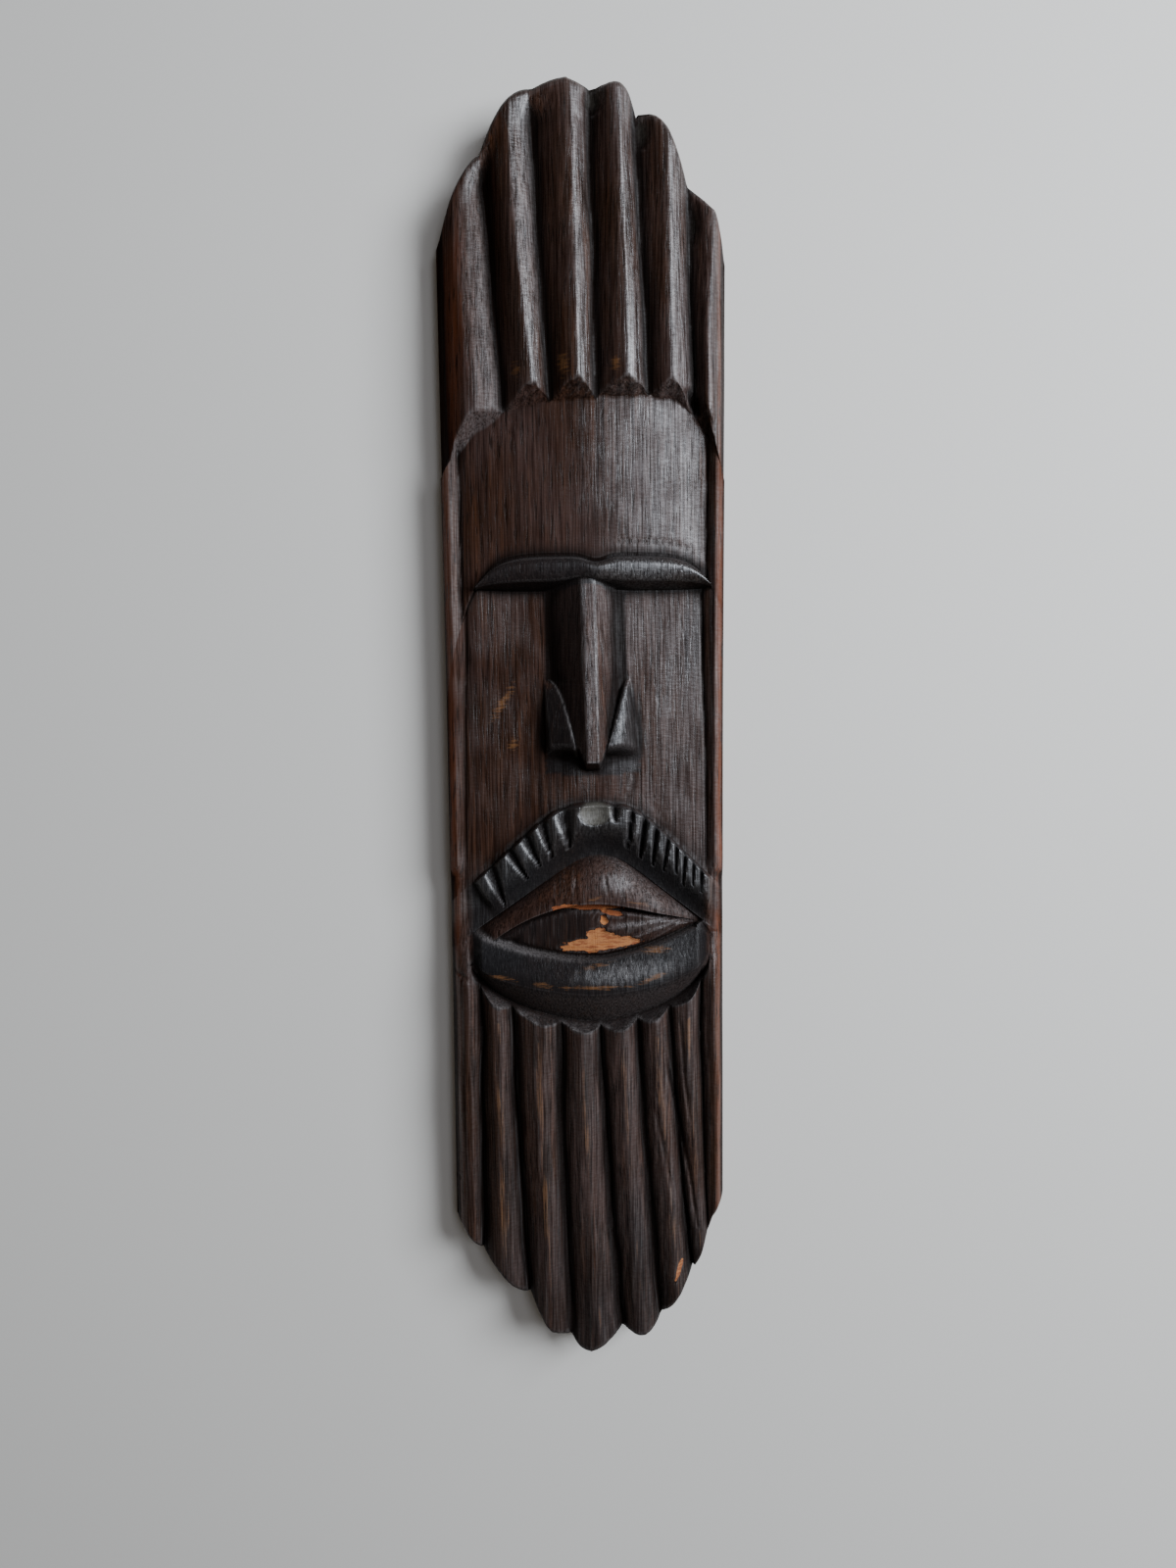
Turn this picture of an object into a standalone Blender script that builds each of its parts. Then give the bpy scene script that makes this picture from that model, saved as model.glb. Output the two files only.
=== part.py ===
"""A long wooden wall mask carved from one plank.

The mask lies on its flat back: +Z comes out of the face, +Y points to the hair
and +X to the viewer's right. The middle of the flat back is the origin, and
every size is in metres.
"""

import math

import bpy
import bmesh

MM = 0.001

# Plank
LENGTH = 500 * MM            # tip of the beard to the top of the hair
WIDTH = 111.0 * MM           # side to side, across the face
WAIST = 0.8 * MM             # how far each side draws in beside the nose
SIDE_HEIGHT = 11 * MM        # thickness at the outer edge of the front
BACK_CHAMFER = 1.0 * MM      # broken edge all round the flat back
SIDE_ROUND = 4.0 * MM        # width of the rounding along both sides
SIDE_DROP = 3.0 * MM         # how far that rounding falls
END_ROUND = 2.0 * MM         # the same at the ends of the locks
END_DROP = 1.4 * MM

# Hair
HAIR_CROWN = 26.5 * MM       # crest height of the middle locks at their foot
HAIR_TAPER = 4.5 * MM        # how much thinner the hair is at its top
HAIR_FALL = 6.5 * MM         # how much lower the outermost crests are
HAIR_GROOVE = 6.5 * MM       # depth of the grooves between locks
HAIR_CRESTS = (0.42, 0.60, 0.60, 0.62, 0.62, 0.58)  # crest between its grooves
HAIR_FULL_WIDTH = 15 * MM    # a lock narrower than this has shallower grooves
LOCK_LEFT_FULLNESS = 0.95    # section left of the crest: 1 is a sine, less is fuller
LOCK_RIGHT_FULLNESS = 0.7    # the same right of the crest
LOCK_RIGHT_FACET = 0.5       # how far the right side is a flat facet
GROOVE_RUN_ON = 0.4          # share of its run that a groove goes on past its start
GROOVE_RUNOUT = 14 * MM      # length in which a groove changes its depth at the top
GROOVE_ENDS = (1.0, 0.35, 0.35, 0.8, 0.8, 0.8, 1.0)  # share of its depth left there
HAIR_CUT_SLOPE_LEFT = 0.85   # steepness of the cut under the hair, left end
HAIR_CUT_SLOPE_RIGHT = 1.15  # the same at the right end

# Grooves of the hair, left to right: x at the top and at the foot of the lock
HAIR_TOP_LINE = 220 * MM
HAIR_FOOT_LINE = 135 * MM
HAIR_GROOVES = (
    (-37.3 * MM, -30.8 * MM),
    (-17.4 * MM, -12.9 * MM),
    (4.0 * MM, 5.2 * MM),
    (21.2 * MM, 25.5 * MM),
    (40.6 * MM, 43.2 * MM),
)

# Upper ends of the six locks, as distances below the top of the mask:
# where the lock starts, its highest point, where it ends, the share of its
# width at which it is highest, and how square its left and right shoulders are
LOCK_ENDS = (
    (58.0 * MM, 25.5 * MM, 25.5 * MM, 1.00, 1.6, 1.0),
    (24.5 * MM, 2.8 * MM, 2.8 * MM, 1.00, 2.3, 1.0),
    (2.8 * MM, 0.0 * MM, 2.2 * MM, 0.60, 1.9, 0.6),
    (2.2 * MM, 1.6 * MM, 12.6 * MM, 0.42, 0.5, 4.5),
    (11.3 * MM, 11.3 * MM, 36.4 * MM, 0.00, 1.0, 2.9),
    (36.4 * MM, 46.0 * MM, 65.0 * MM, 0.66, 1.0, 1.7),
)

# Forehead
FOREHEAD_HEIGHT = 20 * MM    # thickness at the middle of the forehead
FOREHEAD_FALL = 6.5 * MM     # how much it falls towards the rims
HAIRLINE_MIDDLE = 134.5 * MM  # upper edge of the forehead above the nose
HAIRLINE_RISE = 3.5 * MM     # how much higher the edge is on the right
HAIRLINE_LEFT_DROP = 25 * MM  # how far its corners come down
HAIRLINE_RIGHT_DROP = 34 * MM
HAIRLINE_LEFT_CORNER = 3.4   # how late the edge turns down to its corners
HAIRLINE_RIGHT_CORNER = 5.5

# Rims along both sides of the face
RIM_HEIGHT = 17.5 * MM
RIM_CREST_IN = 3.6 * MM      # crest of the rim, in from the side
RIM_SLOPE = 0.75             # steepness of its inner side
RIM_END = -46 * MM           # where the rims run out beside the moustache
RIM_RUNOUT = 14 * MM

# Cheeks
CHEEK_HEIGHT = 14.5 * MM     # thickness just under the brow
CHEEK_RISE = 1.5 * MM        # how much thicker the cheek is below the nose
CHEEK_FALL = 1.0 * MM        # how much it falls towards the rims

# Brow
BROW_MIDDLE = 4.8 * MM       # x of the dip between the two arcs
BROW_TOP = 75.6 * MM
BROW_DIP = 2.2 * MM
BROW_DIP_WIDTH = 5.0 * MM
BROW_LEFT_REACH = 46.5 * MM
BROW_RIGHT_REACH = 44.5 * MM
BROW_END_DROP = 11.5 * MM
BROW_END_LIFT = 1 * MM        # how much its lower edge comes up at its ends
BROW_CORNER = 6.5            # how late each arc turns down to its end
BROW_FOOT = 62.4 * MM        # lower edge of the brow over the cheeks
BROW_FOOT_RISE = 2.2 * MM    # how much higher that edge is at the nose
BROW_FOOT_WIDTH = 9 * MM
BROW_HEIGHT = 25 * MM        # thickness at the crest of the brow
BROW_FALL = 4.5 * MM         # how much lower the crest is at its ends
BROW_RISE_SHARE = 0.30       # rounded upper part, as a share of its breadth
BROW_ROLL_SHARE = 0.72       # end of the roll and start of the undercut
BROW_ROLL_DROP = 1.5 * MM    # how far the roll falls before the undercut
BROW_FULLNESS = 0.5          # roundness of the upper part: less is fuller

# Nose
NOSE_X_TOP = 1.6 * MM        # middle of the nose under the brow
NOSE_X_TIP = 3.0 * MM        # middle of the nose at its tip
NOSE_ROOT = 66 * MM
NOSE_TIP = -4 * MM
NOSE_ROOT_HEIGHT = 22.5 * MM
NOSE_TIP_HEIGHT = 29.76 * MM
NOSE_CREST_WIDTH = 4.8 * MM
NOSE_CREST_TILT = 0.10       # how far the crest leans to the right
NOSE_LEFT_BASE = 15.5 * MM   # from the middle to the foot of the left face
NOSE_RIGHT_BASE = 11.5 * MM
NOSE_END_SLOPE = 3.5         # steepness of the underside of the tip
NOSE_ARCH = 5.5 * MM         # how much higher the flanks end than the tip
NOSE_ARCH_WIDTH = 3.5 * MM   # width in which they rise to that height

# Wings of the nose
WING_TOP = 28 * MM
WING_FOOT = -2 * MM
WING_OUT_LEFT = 17.0 * MM    # crest of the left wing, out from the middle, at its top
WING_OUT_RIGHT = 14.2 * MM   # the same at the right
WING_OUT_LEFT_FOOT = 6.2 * MM
WING_OUT_RIGHT_FOOT = 4.9 * MM
WING_LEFT_BEND = 0.5         # how soon the left crest comes in on its way down
WING_BASE = 18.8 * MM        # outer foot of the wing, out from the middle
WING_BASE_RIGHT_TOP = 15.6 * MM
WING_HEIGHT = 26.5 * MM      # thickness at the foot of the crest
WING_WALL = 0.88             # share of the outer face at which its wall starts
WING_WALL_LEFT = 0.45        # height of that wall, as a share of the crest's
WING_WALL_RIGHT = 0.15
WING_BOW_LEFT = 1.0          # roundness of the outer face: more is rounder
WING_BOW_RIGHT = 2.4
WING_FULLNESS = 0.7          # how soon the crest gains its height on the way down
WING_INNER_SLOPE = 1.9
WING_RUN_ON = 1.3            # end of the wing, as a share of its height
NOSTRIL_DEPTH = 5.0 * MM     # how far the foot of the wing is hollowed
NOSTRIL_EDGE = 1.0 * MM      # how far the hollow runs out below the foot

# Moustache: upper and lower edge as flat-topped roofs, x, y and slopes
MOUSTACHE_TOP = -19.4 * MM
MOUSTACHE_X = 4.3 * MM
MOUSTACHE_FLAT = 15.1 * MM
MOUSTACHE_LEFT_SLOPE = 0.93
MOUSTACHE_RIGHT_SLOPE = 1.02
MOUSTACHE_ROUND = 7 * MM
LIPLINE_TOP = -41.0 * MM
LIPLINE_X = 5.3 * MM
LIPLINE_FLAT = 6.5 * MM
LIPLINE_LEFT_SLOPE = 0.72
LIPLINE_RIGHT_SLOPE = 0.80
LIPLINE_ROUND = 5 * MM
MOUSTACHE_HEIGHT = 22 * MM   # thickness at the upper part of the band
MOUSTACHE_FALL = 3.0 * MM    # how much lower it is at its ends
MOUSTACHE_INNER_DROP = 4.5 * MM  # how far the band sinks to the lip line
MOUSTACHE_BEND = 0.35        # share of the band at which it starts to sink
MOUSTACHE_STEP = 1.6 * MM    # width of the step up from the cheek
MOUSTACHE_RUNOUT = 3.0 * MM  # length in which the band runs out at its ends
MOUSTACHE_LEFT_END = -43 * MM
MOUSTACHE_RIGHT_END = 48 * MM
MOUSTACHE_LEAN = 0.35        # lean of its left end
NOTCH_DEPTH = 4.2 * MM
NOTCH_FULL = 4 * MM          # a narrower notch is shallower
NOTCH_FADE = 1.2 * MM        # distance from the upper edge in which a notch deepens

# Notches: x of both sides at the upper edge, x and y of the lower end, share of
# the breadth taken by the left wall, and how late the sides come together
NOTCHES = (
    (-42.4 * MM, -33.8 * MM, -32.4 * MM, -63.0 * MM, 0.45, 1.2),
    (-34.1 * MM, -27.5 * MM, -22.7 * MM, -52.2 * MM, 0.45, 1.2),
    (-27.9 * MM, -20.4 * MM, -18.0 * MM, -46.7 * MM, 0.45, 1.3),
    (-20.8 * MM, -13.8 * MM, -13.3 * MM, -43.7 * MM, 0.42, 1.3),
    (-13.4 * MM, -3.0 * MM, -6.3 * MM, -39.8 * MM, 0.38, 1.4),
    (8.6 * MM, 15.1 * MM, 11.2 * MM, -29.1 * MM, 0.40, 1.3),
    (17.1 * MM, 19.9 * MM, 16.5 * MM, -39.7 * MM, 0.50, 4.0),
    (21.8 * MM, 25.2 * MM, 21.5 * MM, -43.6 * MM, 0.50, 4.0),
    (26.6 * MM, 29.6 * MM, 26.1 * MM, -47.2 * MM, 0.50, 3.0),
    (31.5 * MM, 33.9 * MM, 30.4 * MM, -49.2 * MM, 0.50, 3.0),
    (34.8 * MM, 36.8 * MM, 35.4 * MM, -51.2 * MM, 0.50, 3.0),
    (38.3 * MM, 40.3 * MM, 38.1 * MM, -56.7 * MM, 0.50, 3.0),
    (41.8 * MM, 43.5 * MM, 42.0 * MM, -56.0 * MM, 0.50, 3.0),
    (44.8 * MM, 46.8 * MM, 45.5 * MM, -57.6 * MM, 0.50, 3.0),
)
SCOOP_X = 3.6 * MM           # hollow in the middle of the moustache
SCOOP_Y = -24.4 * MM
SCOOP_WIDE = 6.8 * MM
SCOOP_HIGH = 5.2 * MM
SCOOP_DEPTH = 2.6 * MM

# Mouth
MOUTH_X = 4.0 * MM
MOUTH_LEFT = 41 * MM         # corners, out from the middle of the mouth
MOUTH_RIGHT = 41 * MM
UPPER_EDGE = -61.2 * MM      # lower edge of the upper lip in the middle
UPPER_EDGE_LEFT_DROP = 14.5 * MM
UPPER_EDGE_RIGHT_DROP = 8.3 * MM
UPPER_EDGE_LEFT_BEND = 2.2   # how late the edge turns to its left corner
LOWER_EDGE = -82.8 * MM      # upper edge of the lower lip in the middle
LOWER_EDGE_LEFT_RISE = 7.3 * MM
LOWER_EDGE_RIGHT_RISE = 13.4 * MM
LOWER_EDGE_LEFT_BEND = 2.0
RIGHT_BEND = 1.5             # the same for both edges at the right corner
UPPER_LIP_HEIGHT = 23.5 * MM
UPPER_LIP_FULL = 12 * MM     # an upper lip narrower than this is lower
UPPER_LIP_FULLNESS = 0.8
LIPLINE_HEIGHT = 17.5 * MM
MOUTH_HEIGHT = 19.5 * MM     # thickness of the tongue of wood inside the lips
MOUTH_EDGE_DROP = 1.5 * MM   # how far it sinks beside the lips
MOUTH_EDGE_WIDTH = 2.0 * MM
LOWER_LIP_INNER = 21.5 * MM
LOWER_LIP_HEIGHT = 25.5 * MM
LOWER_LIP_FOOT = 15.5 * MM
LOWER_LIP_BEND = 1.2         # how late the lip turns down to its foot
LIP_FALL = 5.5 * MM          # how much lower the lips are at their corners
LIP_LEAST = 1.0 * MM         # least breadth of the roll and of its foot
LOWER_LIP_X = 3.0 * MM       # middle of the lower lip
LOWER_LIP_LEFT = 50.5 * MM   # ends of the lower lip, out from its middle
LOWER_LIP_RIGHT = 46.5 * MM
LOWER_LIP_LEFT_Y = -75.5 * MM
LOWER_LIP_RIGHT_Y = -73.5 * MM
LOWER_LIP_BOTTOM = -110 * MM
LOWER_LIP_CREST = -96.5 * MM
LIP_OUT_BEND = 1.5           # the outline of the lip is a rounded curve with
LIP_DOWN_BEND = 3.0          # these powers across and down
LIP_FADE = 6 * MM            # length in which the lips run out at the ends
LIP_CUT_FADE = 3 * MM        # the same for the cut under them

# Beard
BEARD_CROWN = 23 * MM        # crest height of the middle locks at their top
BEARD_TAPER = 2.0 * MM       # how much thinner the beard is at its tip
BEARD_FALL = 4.5 * MM
BEARD_GROOVE = 6.0 * MM
BEARD_CREST = 0.55           # crest of a lock between its grooves
BEARD_FULL_WIDTH = 14 * MM   # a lock narrower than this has shallower grooves
BEARD_FULLNESS = 0.6         # how much fuller its locks are than those of the hair
BEARD_START = -65 * MM       # where the cheek starts to turn into the beard
BEARD_COMPLETE = -96.5 * MM  # and where the locks have their full height
BEARD_CUT_SLOPE = 2.3        # steepness of the cut above each lock
BEARD_TOP_LINE = -100 * MM
BEARD_FOOT_LINE = -240 * MM
BEARD_GROOVES = (
    (-43.3 * MM, -45.4 * MM),
    (-30.9 * MM, -24.6 * MM),
    (-11.5 * MM, -8.2 * MM),
    (4.6 * MM, 13.2 * MM),
    (20.0 * MM, 29.2 * MM),
    (33.0 * MM, 45.6 * MM),
    (45.8 * MM, 50.6 * MM),
)
BEARD_BEND = 1.35            # how late the grooves turn outwards

# Lower ends of the eight locks, as distances above the tip of the beard
BEARD_ENDS = (
    (57.5 * MM, 44.2 * MM, 44.2 * MM, 1.00, 1.3, 1.0),
    (44.2 * MM, 24.2 * MM, 24.2 * MM, 1.00, 1.5, 1.0),
    (24.2 * MM, 8.6 * MM, 5.8 * MM, 0.55, 1.4, 1.0),
    (5.8 * MM, 0.0 * MM, 9.4 * MM, 0.38, 3.0, 1.2),
    (9.4 * MM, 6.9 * MM, 13.6 * MM, 0.45, 1.6, 2.4),
    (14.6 * MM, 16.5 * MM, 39.9 * MM, 0.15, 1.0, 1.25),
    (39.9 * MM, 39.9 * MM, 57.0 * MM, 0.00, 1.0, 1.1),
    (57.0 * MM, 57.0 * MM, 66.0 * MM, 0.00, 1.0, 1.1),
)

# Fineness of the surface, from the beard up. Each band lies between two carved
# lines and has its rows and its zones at the foot and at the top, where columns
# follow the beard in zone 0, the face in zone 1 and the hair in zone 2.
BANDS = (
    (60, 0.0, 0.0),          # beard
    (6, 0.0, 0.0),           # cut above the beard
    (9, 0.0, 0.1),           # foot of the lower lip
    (9, 0.1, 0.2),           # roll of the lower lip
    (12, 0.2, 0.4),          # mouth
    (12, 0.4, 0.6),          # upper lip
    (26, 0.6, 0.9),          # moustache
    (8, 0.9, 1.0),           # below the nose
    (4, 1.0, 1.0),           # underside of the nose
    (44, 1.0, 1.0),          # cheeks
    (14, 1.0, 1.1),          # brow
    (22, 1.1, 2.0),          # forehead
    (6, 2.0, 2.0),           # cut under the hair
    (44, 2.0, 2.0),          # hair
)
COLUMNS = 144                # six locks of hair and eight of beard share them
FACE_COLUMNS = (5, 6, 40, 9, 10, 4, 10, 9, 40, 6, 5)  # in the strips of the face
LINE_GAP = 0.9 * MM          # least distance between two carved lines
FACETS = 9200

WOOD_COLOUR = (0.052, 0.028, 0.020, 1.0)
WOOD_ROUGHNESS = 0.42


def smooth(low, high, value):
    """0 below low, 1 above high, with an S between them."""
    share = min(max((value - low) / (high - low), 0.0), 1.0)
    return share * share * (3.0 - 2.0 * share)


def mix(first, second, share):
    return first + (second - first) * share


def bell(value, width):
    return math.exp(-(value / width) ** 2)


def half_width(y):
    """Half the width of the plank at this height of the face."""
    return WIDTH / 2 - WAIST * bell(y, LENGTH / 4)


def across(x, y):
    """0 on the middle line, 1 at either side."""
    return min(abs(x) / half_width(y), 1.0)


def groove_lines(grooves, top, foot, bend, y):
    """The x of each groove at y, with both sides of the plank as the ends."""
    share = max((top - y) / (top - foot), -GROOVE_RUN_ON)
    turn = math.copysign(abs(share) ** bend, share)
    half = half_width(y)
    inner = [mix(first, last, turn) for first, last in grooves]
    return [-half] + [min(max(line, -half), half) for line in inner] + [half]


def lock_share(lines, x):
    """Which lock x falls in, how far across that lock, and the lock's width."""
    last = len(lines) - 2
    index = next((item for item in range(last) if x <= lines[item + 1]), last)
    width = max(lines[index + 1] - lines[index], LINE_GAP)
    return index, min(max((x - lines[index]) / width, 0.0), 1.0), width


def lock_profile(share, crest):
    """Rounded section of a lock: 0 in its grooves and 1 on its crest."""
    if share < crest:
        return math.sin(math.pi / 2 * share / crest) ** LOCK_LEFT_FULLNESS
    rise = (1.0 - share) / (1.0 - crest)
    return mix(math.sin(math.pi / 2 * rise) ** LOCK_RIGHT_FULLNESS, rise, LOCK_RIGHT_FACET)


def lock_end(row, share):
    """How far the end of a lock stays back from the end of the mask."""
    start, peak, end, place, left_square, right_square = row
    if share < place:
        return mix(peak, start, (1.0 - share / place) ** left_square)
    past = (share - place) / (1.0 - place) if place < 1.0 else 1.0
    return mix(peak, end, past ** right_square)


def top_edge(x):
    """Upper outline of the mask."""
    index, share, _ = lock_share(hair_lines(HAIR_TOP_LINE), x)
    return LENGTH / 2 - lock_end(LOCK_ENDS[index], share)


def bottom_edge(x):
    """Lower outline of the mask."""
    index, share, _ = lock_share(beard_lines(BEARD_FOOT_LINE), x)
    return -LENGTH / 2 + lock_end(BEARD_ENDS[index], share)


def hair_lines(y):
    return groove_lines(HAIR_GROOVES, HAIR_TOP_LINE, HAIR_FOOT_LINE, 1.0, y)


def beard_lines(y):
    return groove_lines(BEARD_GROOVES, BEARD_TOP_LINE, BEARD_FOOT_LINE, BEARD_BEND, y)


def hair(x, y):
    """Locks of hair, as if they ran over the whole plank."""
    index, share, width = lock_share(hair_lines(y), x)
    crest = HAIR_CROWN - HAIR_FALL * across(x, y) ** 2
    crest -= HAIR_TAPER * smooth(HAIR_FOOT_LINE, LENGTH / 2, y)
    depth = HAIR_GROOVE * min(width / HAIR_FULL_WIDTH, 1.0)
    ended = GROOVE_ENDS[index] if share < HAIR_CRESTS[index] else GROOVE_ENDS[index + 1]
    depth *= mix(ended, 1.0, smooth(0.0, GROOVE_RUNOUT, top_edge(x) - y))
    return crest - depth * (1.0 - lock_profile(share, HAIR_CRESTS[index]))


def beard(x, y):
    """Locks of the beard, as if they ran over the whole plank."""
    _, share, width = lock_share(beard_lines(y), x)
    crest = BEARD_CROWN - BEARD_FALL * across(x, y) ** 2
    crest -= BEARD_TAPER * smooth(BEARD_TOP_LINE, -LENGTH / 2, y)
    depth = BEARD_GROOVE * min(width / BEARD_FULL_WIDTH, 1.0)
    return crest - depth * (1.0 - lock_profile(share, BEARD_CREST) ** BEARD_FULLNESS)


def rim(x, y):
    """Raised rim along either side, falling inwards from its crest."""
    crest = half_width(y) - RIM_CREST_IN
    height = mix(RIM_HEIGHT - RIM_SLOPE * RIM_RUNOUT, RIM_HEIGHT,
                 smooth(RIM_END - RIM_RUNOUT, RIM_END, y))
    return height - RIM_SLOPE * max(crest - abs(x), 0.0)


def forehead(x, y):
    return FOREHEAD_HEIGHT - FOREHEAD_FALL * across(x, y) ** 2


def cheeks(x, y):
    """Flat, sunken part of the face under the brow."""
    low = smooth(BROW_FOOT, MOUSTACHE_TOP, y)
    return CHEEK_HEIGHT + CHEEK_RISE * low - CHEEK_FALL * across(x, y) ** 2


def brow_edges(x):
    """Upper and lower edge of the brow."""
    reach = BROW_LEFT_REACH if x < BROW_MIDDLE else BROW_RIGHT_REACH
    out = abs(x - BROW_MIDDLE) / reach
    top = BROW_TOP - BROW_END_DROP * out ** BROW_CORNER
    top -= BROW_DIP * bell(x - BROW_MIDDLE, BROW_DIP_WIDTH)
    foot = BROW_FOOT + BROW_FOOT_RISE * bell(x - NOSE_X_TOP, BROW_FOOT_WIDTH)
    return top, foot + BROW_END_LIFT * out ** BROW_CORNER


def brow(x, y):
    """Bar of the brow: steep above, rolled over its crest, cut back below."""
    top, foot = brow_edges(x)
    if not foot < y < top:
        return 0.0
    crest = BROW_HEIGHT - BROW_FALL * across(x, y) ** 2
    share = (top - y) / (top - foot)
    if share < BROW_RISE_SHARE:
        lift = math.sin(math.pi / 2 * share / BROW_RISE_SHARE) ** BROW_FULLNESS
        return mix(forehead(x, y), crest, lift)
    past = (share - BROW_RISE_SHARE) / (BROW_ROLL_SHARE - BROW_RISE_SHARE)
    if past < 1.0:
        return crest - BROW_ROLL_DROP * past * past
    under = (share - BROW_ROLL_SHARE) / (1.0 - BROW_ROLL_SHARE)
    return mix(crest - BROW_ROLL_DROP, cheeks(x, y), under)


def nose_middle(y):
    share = (NOSE_ROOT - y) / (NOSE_ROOT - NOSE_TIP)
    return mix(NOSE_X_TOP, NOSE_X_TIP, share), min(max(share, 0.0), 1.0)


def nose(x, y):
    """Long wedge of the nose with a narrow flat crest."""
    middle, share = nose_middle(y)
    top, foot = brow_edges(x)
    if y > mix(foot, top, 1.0 - BROW_ROLL_SHARE):
        return 0.0
    crest = mix(NOSE_ROOT_HEIGHT, NOSE_TIP_HEIGHT, share)
    base = NOSE_LEFT_BASE if x < middle else NOSE_RIGHT_BASE
    out = max(abs(x - middle) - NOSE_CREST_WIDTH / 2, 0.0)
    side = (crest - cheeks(x, y)) * out / (base - NOSE_CREST_WIDTH / 2)
    side += NOSE_CREST_TILT * min(max(x - middle, -NOSE_CREST_WIDTH / 2), NOSE_CREST_WIDTH / 2)
    end = NOSE_TIP + NOSE_ARCH * smooth(0.0, NOSE_ARCH_WIDTH, out)
    return crest - side - NOSE_END_SLOPE * max(end - y, 0.0)


def wing_lines(y):
    """Crest and outer foot of the left and of the right wing, out from the middle."""
    share = min(max((WING_TOP - y) / (WING_TOP - WING_FOOT), 0.0), 1.0)
    left = mix(WING_OUT_LEFT, WING_OUT_LEFT_FOOT, share ** WING_LEFT_BEND)
    right = mix(WING_OUT_RIGHT, WING_OUT_RIGHT_FOOT, share)
    return (left, WING_BASE), (right, mix(WING_BASE_RIGHT_TOP, WING_BASE, share))


def wing(x, y):
    """Wings of the nose, each a slanting ridge with a hollowed foot."""
    middle = nose_middle(y)[0]
    out = abs(x - middle)
    share = (WING_TOP - y) / (WING_TOP - WING_FOOT)
    crest_out, base = wing_lines(y)[0 if x < middle else 1]
    if share < 0.0 or share > WING_RUN_ON or out > base:
        return 0.0
    cheek = cheeks(x, y)
    crest = mix(cheek, WING_HEIGHT, min(share, 1.0) ** WING_FULLNESS)
    past = (out - crest_out) / (base - crest_out)
    wall = mix(cheek, crest, WING_WALL_LEFT if x < middle else WING_WALL_RIGHT)
    if out < crest_out:
        top = crest - WING_INNER_SLOPE * (crest_out - out)
    elif past < WING_WALL:
        top = mix(crest, wall, (past / WING_WALL) ** (WING_BOW_LEFT if x < middle else WING_BOW_RIGHT))
    else:
        top = mix(wall, cheek, (past - WING_WALL) / (1.0 - WING_WALL))
    bow = 1.0 - ((out - (crest_out + base) / 2) / (base - crest_out)) ** 2
    hollow = smooth(WING_FOOT + NOSTRIL_DEPTH * bow, WING_FOOT - NOSTRIL_EDGE, y)
    return mix(top, cheek, hollow)


def roof(x, top, middle, flat, left_slope, right_slope, rounding):
    """A level line that slopes down on both sides, with rounded corners."""
    out = abs(x - middle) - flat
    soft = (out + math.sqrt(out * out + rounding * rounding)) / 2
    return top - soft * (left_slope if x < middle else right_slope)


def moustache_edges(x):
    upper = roof(x, MOUSTACHE_TOP, MOUSTACHE_X, MOUSTACHE_FLAT,
                 MOUSTACHE_LEFT_SLOPE, MOUSTACHE_RIGHT_SLOPE, MOUSTACHE_ROUND)
    lower = roof(x, LIPLINE_TOP, LIPLINE_X, LIPLINE_FLAT,
                 LIPLINE_LEFT_SLOPE, LIPLINE_RIGHT_SLOPE, LIPLINE_ROUND)
    return upper, lower


def notch(row, x, y):
    """Depth of one notch at this point, as a share of the full depth."""
    left, right, end_x, end_y, steep, late = row
    start_y = moustache_edges((left + right) / 2)[0]
    down = min(max((start_y - y) / (start_y - end_y), 0.0), 1.0)
    width = (right - left) * (1.0 - down ** late)
    if width <= 0.0:
        return 0.0
    place = (x - mix((left + right) / 2, end_x, down)) / width + 0.5
    wall = place / steep if place < steep else (1.0 - place) / (1.0 - steep)
    return max(wall, 0.0) * min((right - left) / NOTCH_FULL, 1.0) * math.sqrt(1.0 - down ** late)


def moustache_ends(x, y, upper):
    """How far inside the slanting ends of the moustache this point is."""
    left = x - MOUSTACHE_LEFT_END - MOUSTACHE_LEAN * (upper - y)
    return min(left, MOUSTACHE_RIGHT_END - x)


def moustache(x, y):
    """Band of the moustache above the upper lip."""
    upper, lower = moustache_edges(x)
    if not lower < y < upper:
        return 0.0
    crest = MOUSTACHE_HEIGHT - MOUSTACHE_FALL * across(x, y) ** 2
    share = (upper - y) / (upper - lower)
    top = crest - MOUSTACHE_INNER_DROP * smooth(MOUSTACHE_BEND, 1.0, share)
    top = mix(cheeks(x, y), top, smooth(0.0, MOUSTACHE_STEP, upper - y))
    deepest = max(notch(row, x, y) for row in NOTCHES)
    top -= NOTCH_DEPTH * deepest * smooth(0.0, NOTCH_FADE, upper - y)
    top = mix(cheeks(x, y), top, smooth(-MOUSTACHE_RUNOUT, 0.0, moustache_ends(x, y, upper)))
    scoop = math.hypot((x - SCOOP_X) / SCOOP_WIDE, (y - SCOOP_Y) / SCOOP_HIGH)
    return top - SCOOP_DEPTH * max(1.0 - scoop * scoop, 0.0)


def mouth_edges(x):
    """Lower edge of the upper lip and upper edge of the lower lip."""
    if x < MOUTH_X:
        out = (MOUTH_X - x) / MOUTH_LEFT
        upper = UPPER_EDGE - UPPER_EDGE_LEFT_DROP * out ** UPPER_EDGE_LEFT_BEND
        lower = LOWER_EDGE + LOWER_EDGE_LEFT_RISE * out ** LOWER_EDGE_LEFT_BEND
    else:
        out = (x - MOUTH_X) / MOUTH_RIGHT
        upper = UPPER_EDGE - UPPER_EDGE_RIGHT_DROP * out ** RIGHT_BEND
        lower = LOWER_EDGE + LOWER_EDGE_RIGHT_RISE * out ** RIGHT_BEND
    return upper, lower


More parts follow.
